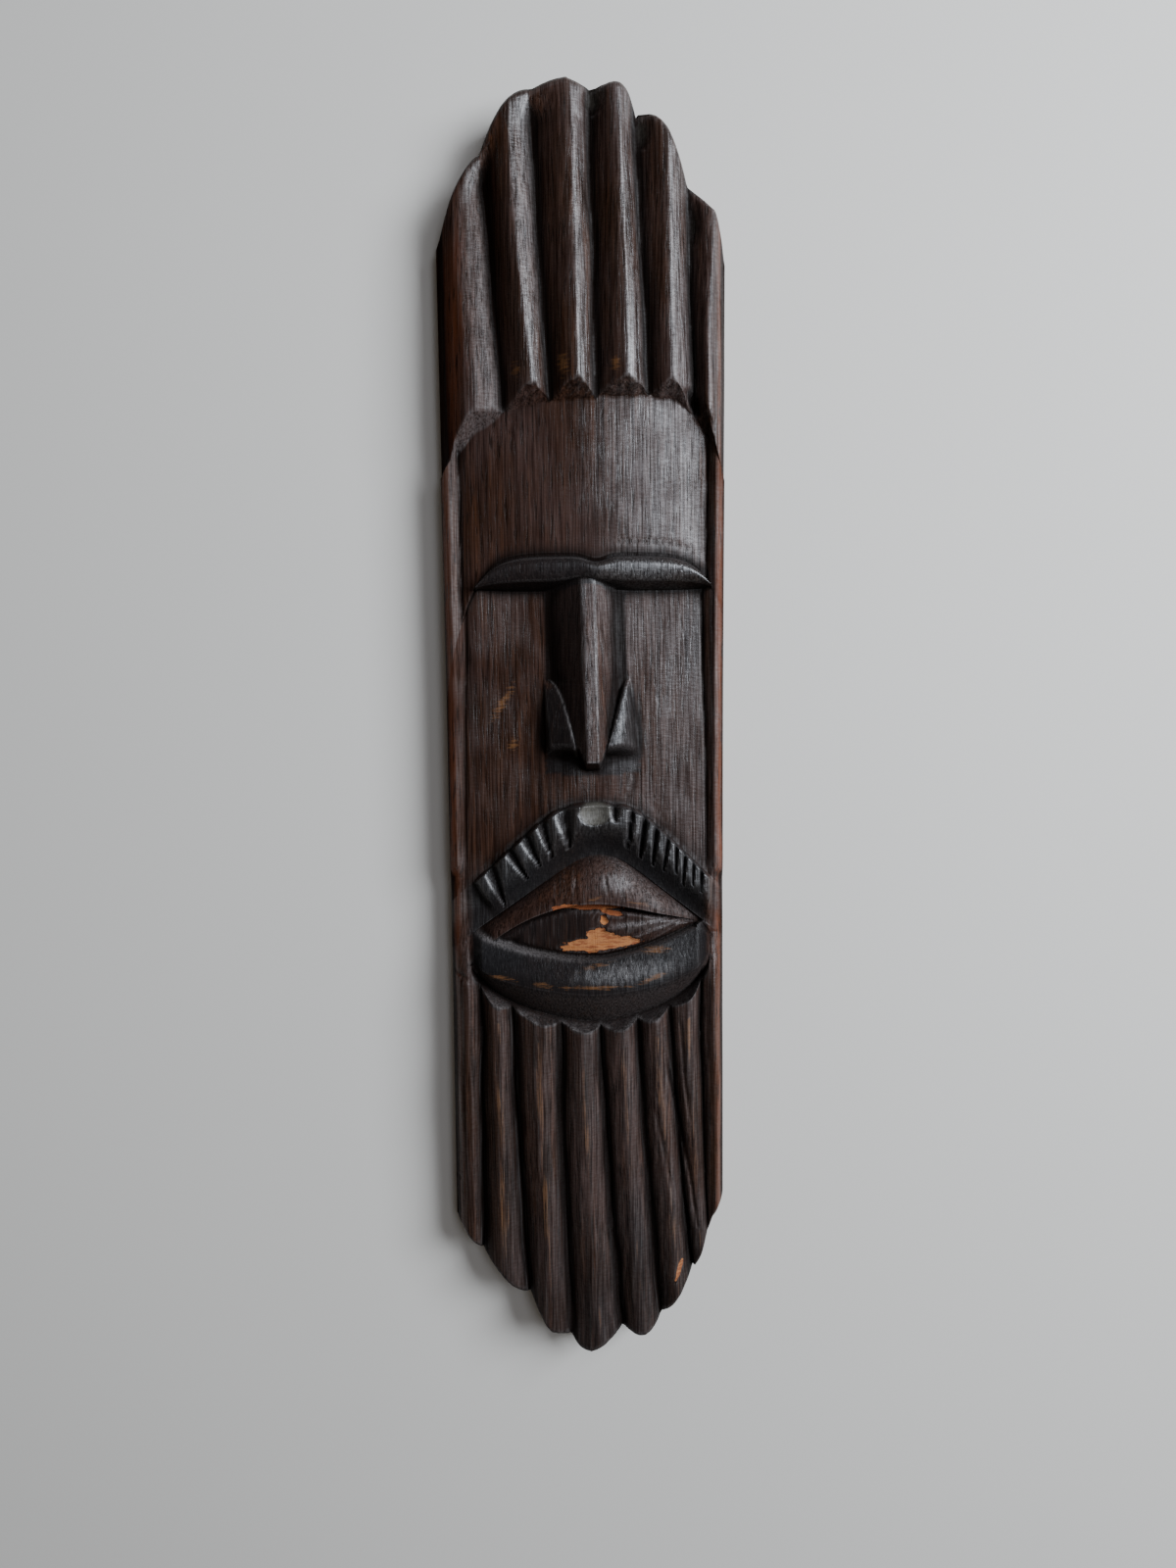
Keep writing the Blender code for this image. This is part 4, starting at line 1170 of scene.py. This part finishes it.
def paleWearAndHighlightShare(x, y):
    # painted sheen: light grey streaks over the sheen patches
    streaky = insideOvals(sheenPatches, x, y) + 0.6 * uneven(x, y, 1.2, 6, 52.6)
    share = wearAndHighlights["sheenPatches"] * smooth(0, 0.7, streaky)
    outer = lipBottom(x)
    if outer < y < moustacheEdges(x)[1]:
        # pale line along the upper rim of the lower lip: wear, and painted highlight where the edge
        # catches the light
        left = smooth(12, -36, x)
        line = bell(y - mouthEdges(x)[1] + 0.5, mix(*wearAndHighlights["lipRimWidth"], left))
        line *= mix(*wearAndHighlights["lipRim"], left)
        foot = wearAndHighlights["lipFoot"] * smooth(1, -3, y - lipCrest(x))
        return max(share, line * lipReach(x, 8), foot)
    head = beardHead(x)
    if head - 1 < y <= outer:
        # thin painted highlight along the rim of the cut above each lock; the scraped cut itself is wear
        rim = wearAndHighlights["beardRims"] * bell(y - head - 0.3, 0.5)
        patchy = smooth(-0.3, 0.5, uneven(x, y, 4.5, 3, 21.7))
        scraped = wearAndHighlights["beardHeads"] * smooth(0.4, 1.4, outer - y)
        return (scraped + rim) * patchy * lipReach(x, 2)
    if y > hairline(x, y):
        return wearAndHighlights["hairFoot"] * smooth(-24, -34, x) * smooth(2, 0, y - hairFoot(x))
    top = browEdges(x)[0]
    # painted highlight along the top edge of the left arc of the brow
    arc = bell(y - top + 0.9, 0.4) * smooth(4, 0, x) * smooth(-42, -36, x)
    share = max(share, wearAndHighlights["brow"] * arc)
    low = top - wearAndHighlights["leftRimLength"]
    # worn crest of the left rim, painted pale with its highlight
    if x < 0 and y > low:
        rim = halfWidth(y) - face["rimCrestIn"] + x
        patchy = smooth(-0.4, 0.3, uneven(x, y, 2, 9, 61.2)) * smooth(low, top - 15, y)
        share = max(share, wearAndHighlights["leftRim"] * bell(rim + 0.6, 0.7) * patchy)
    if wings["foot"] < y < wings["top"]:
        # painted highlight along the crest of the left wing
        crest = noseMiddle(y)[0] - wingLines(y)[0][0]
        share = max(share, wearAndHighlights["wing"] * bell(x - crest, 0.45))
    return share


# how much light the finish throws back: a pair goes from the left to the right of
# its part, and the soot of the left half is dull
gloss = {
    "hair": (1, 1.35),
    "hairFlank": 0.40,
    "hairFacet": 1.2,
    "hairSide": 0.2,
    "hairLeft": 0.45,  # the first two locks
    "forehead": (0.20, 1.2),
    "foreheadEnd": 0.7,
    "leftRim": 0.8,
    "brow": (0.30, 1.9),
    "leftFlank": 0.35,  # of the nose
    "noseCrest": (0.42, 0.66),
    "noseStreaks": 0.3,
    "moustache": (1.4, 0.35),  # its upper and its lower half
    "cheeks": (0.30, 0.95),
    "cheekLeast": 0.15,
    "upperLip": (0.22, 0.4),
    "lowerLip": (0.13, 0.4),
    "lipEnd": 0.2,
    "sheenPatches": 0.85,
    "beard": (0.6, 0.8),
    "beardEnds": 0.8,
}


def hairGloss(x, y):
    place = lockShare(hairLines(y), x)[1]
    level = mix(gloss["hairSide"], 1, smooth(6, 14, halfWidth(y) + x))
    level *= mix(gloss["hairLeft"], 1, smooth(-36, -24, x))
    level *= mix(*gloss["hair"], smooth(-10, 25, x))
    return level * mix(gloss["hairFlank"], gloss["hairFacet"], smooth(0.35, 0.75, place))


def foreheadGloss(x, y, up):
    if x < 4 - halfWidth(y) + face["rimCrestIn"]:
        return gloss["leftRim"]
    light = mix(smooth(-8, 24, x), smooth(2, 26, x), smooth(105, 80, y))
    cut = mix(1, smooth(0.2, 1.3, up), smooth(-4, 6, x))
    mottled = 1 + 0.45 * uneven(x, y, 14, 10, 81.4) + 0.3 * uneven(x, y, 4, 5, 82.4)
    level = mix(*gloss["forehead"], light) * mix(1, gloss["foreheadEnd"], smooth(38, 46, x))
    return level * cut * mottled


def lipGloss(x, y):
    if y > mouthEdges(x)[0]:
        plain = mix(*gloss["upperLip"], smooth(0, 16, x))
    else:
        plain = mix(*gloss["lowerLip"], smooth(0, 30, x))
    streaky = insideOvals(sheenPatches, x, y) + 0.5 * uneven(x, y, 1.4, 7, 51.3)
    shine = gloss["sheenPatches"] * smooth(0, 0.75, streaky)
    return mix(plain, 1.0, shine) * mix(gloss["lipEnd"], 1, smooth(48, 38, x))


def glossShare(x, y):
    if y > hairFoot(x):
        return hairGloss(x, y)
    top, foot = browEdges(x)
    if y > top:
        return foreheadGloss(x, y, y - top)
    if y > foot:
        return mix(*gloss["brow"], smooth(-2, 12, x))
    off = x - noseMiddle(y)[0]
    halfCrest = nose["crestWidth"] / 2
    if y > nose["tip"] - 4 and -nose["leftBase"] < off < -halfCrest:
        return gloss["leftFlank"]
    if y > moustache["upper"]["top"] and abs(off) <= halfCrest:
        streaks = gloss["noseStreaks"] * uneven(x, y, 3, 16, 83.4)
        return mix(*gloss["noseCrest"], smooth(0, 22, y)) + streaks
    upper, lower = moustacheEdges(x)
    if lower < y < upper:
        return mix(*gloss["moustache"], smooth(0.35, 0.72, (upper - y) / (upper - lower)))
    if y > upper:
        patch = 0.6 * uneven(x + y, y - x, 16, 26, 31.4) + 0.2 * uneven(x, y, 4, 8, 32.4)
        return max(mix(*gloss["cheeks"], smooth(-20, 20, x)) + patch, gloss["cheekLeast"])
    if y > lipBottom(x):
        return lipGloss(x, y)
    return mix(*gloss["beard"], smooth(-40, 40, x)) * mix(gloss["beardEnds"], 1, smooth(-230, -190, y))


def sideShare(x, y):
    strip = smooth(face["rimCrestIn"] + 1.2, 0.6, halfWidth(y) - abs(x))
    if x < 0 and y > hairFoot(x):
        warm = smooth(13, 5, halfWidth(y) + x + 3 * uneven(x, y, 6, 24, 71.5)) * smooth(202, 180, y)
        strip = max(strip, finish["warmSide"] * warm)
    return strip


def dustShare(x, y):
    pit = finish["pitDust"] * smooth(0.4, 1.8, pitDepth(x, y))
    scoop = smooth(1.05, 0.75, scoopAway(x, y)) * smooth(0, 0.9, moustacheEdges(x)[0] - y)
    return max(scoop, pit)


def mattShare(x, y):
    locks = smooth(lipCrest(x) - 6, lipBottom(x) - 4, y)
    edge = hairline(x, y)
    cut = smooth(0, 1, y - edge) * smooth(1, 0, y - hairFoot(x))
    return max(locks, cut)


def groundHeights(grid, columns, rows, wide, high):
    across = {}
    for row in range(rows + 1):
        heights = [grid[column, row].co.z for column in range(columns + 1)]
        for column in range(columns + 1):
            part = heights[max(column - wide, 0):column + wide + 1]
            across[column, row] = sum(part) / len(part)
    ground = {}
    for column in range(columns + 1):
        for row in range(rows + 1):
            near = range(max(row - high, 0), min(row + high, rows) + 1)
            ground[column, row] = sum(across[column, item] for item in near) / len(near)
    return ground


def redShare(x, y):
    return smooth(-69, -63, y) if y > -80 else finish["redEnd"]


shares = {
    "stainAndShade": stainAndShadeShare, "bare": chipShare, "rubbed": rubbedShare, "paleWearAndHighlight": paleWearAndHighlightShare, "red": redShare,
    "side": sideShare, "dust": dustShare, "matt": mattShare, "gloss": glossShare,
}


def nameFinish(layers, grid, columns, rows):
    broad = groundHeights(grid, columns, rows, finish["window"], finish["windowRows"])
    close = groundHeights(grid, columns, rows, 1, 1)
    for place, vert in grid.items():
        x, y, z = vert.co.x / mm, vert.co.y / mm, vert.co.z
        vert[layers["hollow"]] = (broad[place] - z) / (finish["depthScale"] * mm)
        vert[layers["edge"]] = (z - close[place]) / (finish["edgeScale"] * mm)
        for name, share in shares.items():
            vert[layers[name]] = share(x, y)


def nameSides(layers, carving):
    for vert in carving.verts:
        if vert.co.z < plank["sideHeight"] * mm * finish["under"]:
            for name, value in finish["underEdge"].items():
                vert[layers[name]] = value
        if vert.co.z < plank["backChamfer"] * mm / 2:
            vert[layers["back"]] = 1
            vert[layers["side"]] = 0


# Wood

wood = {
    "dark": (0.0095, 0.0043, 0.0027),
    "umber": (0.0340, 0.0145, 0.0082),
    "rust": (0.088, 0.032, 0.0120),
    "plum": (0.0360, 0.0190, 0.0155),
    "sideRust": (0.125, 0.032, 0.0090),
    "stainAndShadeBlack": (0.0075, 0.0068, 0.0072),
    # near black for grime and for the painted shade in grooves
    "grimeAndGrooveShade": (0.0032, 0.0019, 0.0015),
    "dustGrey": (0.070, 0.064, 0.052),
    "paleWearAndHighlightGrey": (0.110, 0.100, 0.098),
    # light grey for wear and for painted highlights and sheen
    "bareTan": (0.255, 0.090, 0.030),
    "bareLight": (0.345, 0.160, 0.068),
    "bareRed": (0.150, 0.038, 0.015),
    "ochre": (0.150, 0.066, 0.023),
    "backWood": (0.105, 0.056, 0.031),
    "backDark": (0.040, 0.021, 0.013),
    "roughness": (0.29, 0.48),
    "mattRoughness": 0.66,
    "bareRoughness": 0.85,
    "specular": 0.5,
    "grains": {  # noise textures: stretch, detail and roughness
        "streak": ((520, 10, 520), 3.0, 0.6),
        "rust": ((360, 8, 360), 3.0, 0.6),
        "fine": ((1500, 40, 1500), 3.0, 0.65),
        "blotch": ((34, 20, 34), 3.0, 0.6),
        "speck": ((1100, 800, 1100), 2.0, 0.6),
        "weave": ((420, 1300, 420), 3.0, 0.6),
        "pore": ((1350, 90, 1350), 2.0, 0.5),
        "splinter": ((200, 1100, 200), 4.0, 0.7),
        "saw": ((14, 700, 14), 2.0, 0.4),
    },
    "relief": {"fine": 1.0, "streak": 0.8, "pore": -0.7, "weave": 0.9},
    "bareRelief": 2.2,
    "sawRelief": 2.0,
    "bump": {"Strength": 0.55, "Distance": 0.00017},
}


class nodeBench:
    def __init__(self, material):
        self.tree = material.node_tree
        self.links = material.node_tree.links

    def add(self, kind, settings=None, inputs=None):
        node = self.tree.nodes.new(kind)
        for name, value in (settings or {}).items():
            setattr(node, name, value)
        for name, value in (inputs or {}).items():
            socket = node.inputs[name]
            if isinstance(value, bpy.types.NodeSocket):
                self.links.new(value, socket)
            else:
                socket.default_value = value
        return node

    def attribute(self, name):
        return self.add("ShaderNodeAttribute", {"attribute_name": name}).outputs["Fac"]

    def maths(self, operation, *parts, clamp=False):
        result = parts[0]
        settings = {"operation": operation, "use_clamp": clamp}
        for part in parts[1:]:
            result = self.add("ShaderNodeMath", settings, {0: result, 1: part}).outputs[0]
        return result

    def times(self, *parts):
        return self.maths("MULTIPLY", *parts)

    def plus(self, *parts):
        return self.maths("ADD", *parts)

    def level(self, share, first, second):
        inputs = {"Factor": share, "A": first, "B": second}
        return self.add("ShaderNodeMix", {"data_type": "FLOAT"}, inputs).outputs[0]

    def between(self, value, low, high, first=0.0, last=1.0):
        inputs = {"Value": value, "From Min": low, "From Max": high, "To Min": first, "To Max": last}
        return self.add("ShaderNodeMapRange", {"clamp": True}, inputs).outputs[0]

    def grain(self, place, stretch, detail, roughness):
        mapping = self.add("ShaderNodeMapping", None, {"Vector": place, "Scale": stretch})
        inputs = {"Vector": mapping.outputs[0], "Scale": 1.0, "Detail": detail, "Roughness": roughness}
        return self.add("ShaderNodeTexNoise", None, inputs).outputs[0]

    def blend(self, share, first, second, way="MIX"):
        settings = {"data_type": "RGBA", "blend_type": way, "clamp_factor": True}
        node = self.add("ShaderNodeMix", settings)
        for index, value in ((0, share), (6, first), (7, second)):
            if isinstance(value, bpy.types.NodeSocket):
                self.links.new(value, node.inputs[index])
            elif index:
                node.inputs[index].default_value = (*value, 1.0)
            else:
                node.inputs[index].default_value = value
        return node.outputs[2]


def newMaterial(name):
    material = bpy.data.materials.new(name)
    material.use_nodes = True
    return material, nodeBench(material), material.node_tree.nodes["Principled BSDF"]


def hardwoodColour(bench, grain):
    colour = bench.blend(bench.between(grain["streak"], 0.30, 0.72), wood["dark"], wood["umber"])
    colour = bench.blend(bench.between(grain["rust"], 0.54, 0.80, 0.0, 0.5), colour, wood["rust"])
    colour = bench.blend(bench.between(grain["blotch"], 0.40, 0.62, 0.0, 0.65), colour, wood["plum"])
    shade = bench.between(grain["fine"], 0.32, 0.68, 0.46, 1.56)
    grey = bench.add("ShaderNodeCombineColor", None, {"Red": shade, "Green": shade, "Blue": shade})
    return bench.blend(1.0, colour, grey.outputs[0], "MULTIPLY")


def bareWoodColour(bench, splinter, bare):
    colour = bench.blend(bench.between(splinter, 0.36, 0.60), wood["bareTan"], wood["bareLight"])
    reddish = bench.plus(splinter, bench.times(bench.attribute("red"), 0.10))
    reddish = bench.plus(reddish, bench.between(bare, 0.02, 0.14, 0.09, 0.0))
    return bench.blend(bench.between(reddish, 0.51, 0.61, 0.0, 0.85), colour, wood["bareRed"])


# each stain, dust and wear over the plain wood
def finishColour(bench, colour, grain):
    attribute, between = bench.attribute, bench.between
    side = bench.times(attribute("side"), between(grain["streak"], 0.2, 0.7, 0.4, 1.0))
    colour = bench.blend(side, colour, wood["sideRust"])
    colour = bench.blend(bench.times(grain["pore"], 0.85), colour, wood["dark"])
    # black stain, and painted shade on the left flank of the nose
    stainAndShadeMix = bench.plus(attribute("stainAndShade"), between(grain["blotch"], 0.3, 0.7, -0.12, 0.12))
    colour = bench.blend(bench.maths("MULTIPLY", stainAndShadeMix, 0.93, clamp=True), colour, wood["stainAndShadeBlack"])
    brushed = bench.level(attribute("matt"), grain["splinter"], grain["fine"])
    rub = bench.plus(attribute("rubbed"), between(brushed, 0.34, 0.66, -0.7, 0.55))
    colour = bench.blend(between(rub, 0.05, 0.8, 0.0, 0.55), colour, wood["ochre"])
    # painted shade and grime in grooves: the deeper a point lies below its neighbourhood, the nearer it
    # goes to near black
    grimeAndGrooveShade = bench.times(between(attribute("hollow"), 0.05, 0.95, 0.0, 0.92),
                        between(attribute("stainAndShade"), 0.3, 1.0, 1.0, 0.45))
    colour = bench.blend(grimeAndGrooveShade, colour, wood["grimeAndGrooveShade"])
    # light grey on worn places, on raised edges (wear and painted highlight) and on the painted
    # highlights and sheen
    paleWearAndHighlight = bench.maths("MAXIMUM", attribute("paleWearAndHighlight"), between(attribute("edge"), 0.45, 1.6, 0.0, 0.22))
    paleWearAndHighlight = bench.times(paleWearAndHighlight, between(grain["fine"], 0.36, 0.62, 0.15, 1.0))
    colour = bench.blend(paleWearAndHighlight, colour, wood["paleWearAndHighlightGrey"])
    dust = bench.times(attribute("dust"), between(grain["speck"], 0.35, 0.6, 0.6, 0.95))
    return bench.blend(dust, colour, wood["dustGrey"])


def backColour(bench, grain):
    colour = bench.blend(bench.between(grain["streak"], 0.35, 0.65), wood["backDark"], wood["backWood"])
    return bench.blend(bench.between(grain["fine"], 0.3, 0.7, 0.0, 0.5), colour, wood["backDark"])


def finishRoughness(bench, grain, bare):
    rough = bench.between(grain["fine"], 0.28, 0.72, *wood["roughness"])
    rough = bench.plus(rough, bench.between(grain["blotch"], 0.35, 0.65, -0.04, 0.10))
    hollow = bench.between(bench.attribute("hollow"), 0.0, 0.9)
    dull = [bench.attribute(name) for name in ("matt", "back", "dust")]
    rough = bench.level(bench.maths("MAXIMUM", hollow, *dull), rough, wood["mattRoughness"])
    return bench.level(bare, rough, wood["bareRoughness"])


def finishRelief(bench, grain, bare):
    parts = [bench.times(grain[name], height) for name, height in wood["relief"].items()]
    parts.append(bench.times(grain["splinter"], bare, wood["bareRelief"]))
    parts.append(bench.times(grain["saw"], bench.attribute("back"), wood["sawRelief"]))
    return bench.add("ShaderNodeBump", None, {**wood["bump"], "Height": bench.plus(*parts)}).outputs[0]


def finishShine(bench, grain):
    hollow = bench.between(bench.attribute("hollow"), 0.0, 0.9, 1.0, 0.35)
    fine = bench.between(grain["fine"], 0.33, 0.67, 0.28, 1.72)
    weave = bench.between(grain["weave"], 0.35, 0.65, 0.75, 1.25)
    return bench.times(bench.attribute("gloss"), hollow, fine, weave, wood["specular"])


def darkStainedHardwood():
    material, bench, shader = newMaterial("dark_stained_hardwood_finish")
    place = bench.add("ShaderNodeTexCoord").outputs["Object"]
    grain = {name: bench.grain(place, *size) for name, size in wood["grains"].items()}
    grain["pore"] = bench.between(grain["pore"], 0.57, 0.66)
    chip = bench.plus(bench.attribute("bare"), bench.between(grain["speck"], 0.3, 0.7, -0.06, 0.06))
    bare = bench.between(chip, 0.01, 0.07)
    colour = finishColour(bench, hardwoodColour(bench, grain), grain)
    colour = bench.blend(bare, colour, bareWoodColour(bench, grain["splinter"], chip))
    colour = bench.blend(bench.attribute("back"), colour, backColour(bench, grain))
    inputs = {
        "Base Color": colour,
        "Roughness": finishRoughness(bench, grain, bare),
        "Normal": finishRelief(bench, grain, bare),
        "Specular IOR Level": finishShine(bench, grain),
    }
    for name, value in inputs.items():
        bench.links.new(value, shader.inputs[name])
    return material


def linkObject(name, data):
    item = bpy.data.objects.new(name, data)
    bpy.context.scene.collection.objects.link(item)
    return item


def finishMesh(name, carving):
    mesh = bpy.data.meshes.new(name)
    carving.to_mesh(mesh)
    carving.free()
    return linkObject(name, mesh)


def carvedMask():
    carving = bmesh.new()
    names = ("hollow", "edge", *shares, "back")
    layers = {name: carving.verts.layers.float.new(name) for name in names}
    grid, columns, rows = carveFront(carving)
    print("front carved:", len(carving.verts), "points")
    nameFinish(layers, grid, columns, rows)
    print("finish named")
    closeBack(carving)
    nameSides(layers, carving)
    mask = finishMesh("carved_wood_mask", carving)
    mask.data.shade_smooth()
    mask.data.set_sharp_from_angle(angle=math.radians(finish["sharpAngle"]))
    mask.data.materials.append(darkStainedHardwood())
    print("mask closed:", sum(len(polygon.vertices) - 2 for polygon in mask.data.polygons), "triangles")
    return mask


# Floor, lights and camera

studio = {
    "floorSize": 6.0,
    "floorColour": (0.575, 0.555, 0.52),
    "floorShade": 0.97,
    "floorRoughness": 0.75,
    "worldColour": (0.92, 0.83, 0.72),
    "worldStrength": 0.13,
    "lights": {  # place, size, power and colour
        "window": ((0.90, 0.38, 0.82), 0.7, 36, (0.86, 0.92, 1.0)),
        "ceiling": ((0.28, 0.27, 1.15), 0.32, 3.2, (0.82, 0.88, 1.0)),
    },
}

viewpoint = {
    "place": (0.92, 31.64, 463.40),  # millimetres from the middle of the back
    "tilt": 5.74,
    "roll": 0.56,
    "lens": 26.01,
    "film": 36,
    "nearest": 0.01,
}


def layFloor():
    slab = bmesh.new()
    bmesh.ops.create_grid(slab, x_segments=8, y_segments=8, size=studio["floorSize"] / 2)
    floor = finishMesh("pale_floor", slab)
    material, bench, shader = newMaterial("pale_floor_paint")
    place = bench.add("ShaderNodeTexCoord").outputs["Object"]
    cloud = bench.grain(place, (3, 3, 3), 2.0, 0.6)
    darker = tuple(part * studio["floorShade"] for part in studio["floorColour"])
    colour = bench.blend(cloud, studio["floorColour"], darker)
    bench.links.new(colour, shader.inputs["Base Color"])
    shader.inputs["Roughness"].default_value = studio["floorRoughness"]
    floor.data.materials.append(material)


def hangLight(name, place, size, power, colour):
    data = bpy.data.lights.new(name, "AREA")
    data.shape = "SQUARE"
    data.size = size
    data.energy = power
    data.color = colour
    light = linkObject(name, data)
    light.location = place
    light.rotation_euler = (-Vector(place)).to_track_quat("-Z", "Y").to_euler()


def lightStudio():
    world = bpy.data.worlds.new("soft_room")
    world.use_nodes = True
    background = world.node_tree.nodes["Background"]
    background.inputs["Color"].default_value = (*studio["worldColour"], 1.0)
    background.inputs["Strength"].default_value = studio["worldStrength"]
    bpy.context.scene.world = world
    for name, light in studio["lights"].items():
        hangLight(name, *light)


def placeCamera():
    data = bpy.data.cameras.new("camera")
    data.sensor_fit = "VERTICAL"
    data.sensor_height = viewpoint["film"]
    data.lens = viewpoint["lens"]
    data.clip_start = viewpoint["nearest"]
    camera = linkObject("camera", data)
    place = Vector(viewpoint["place"]) * mm
    turn = Matrix.Rotation(-math.radians(viewpoint["tilt"]), 4, "X")
    roll = Matrix.Rotation(-math.radians(viewpoint["roll"]), 4, "Z")
    camera.matrix_world = Matrix.Translation(place) @ turn @ roll
    bpy.context.scene.camera = camera


placeCamera()
layFloor()
lightStudio()
print("studio ready")

mask = carvedMask()
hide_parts("carved_mask")
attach(mask, "root")
print("mask placed")
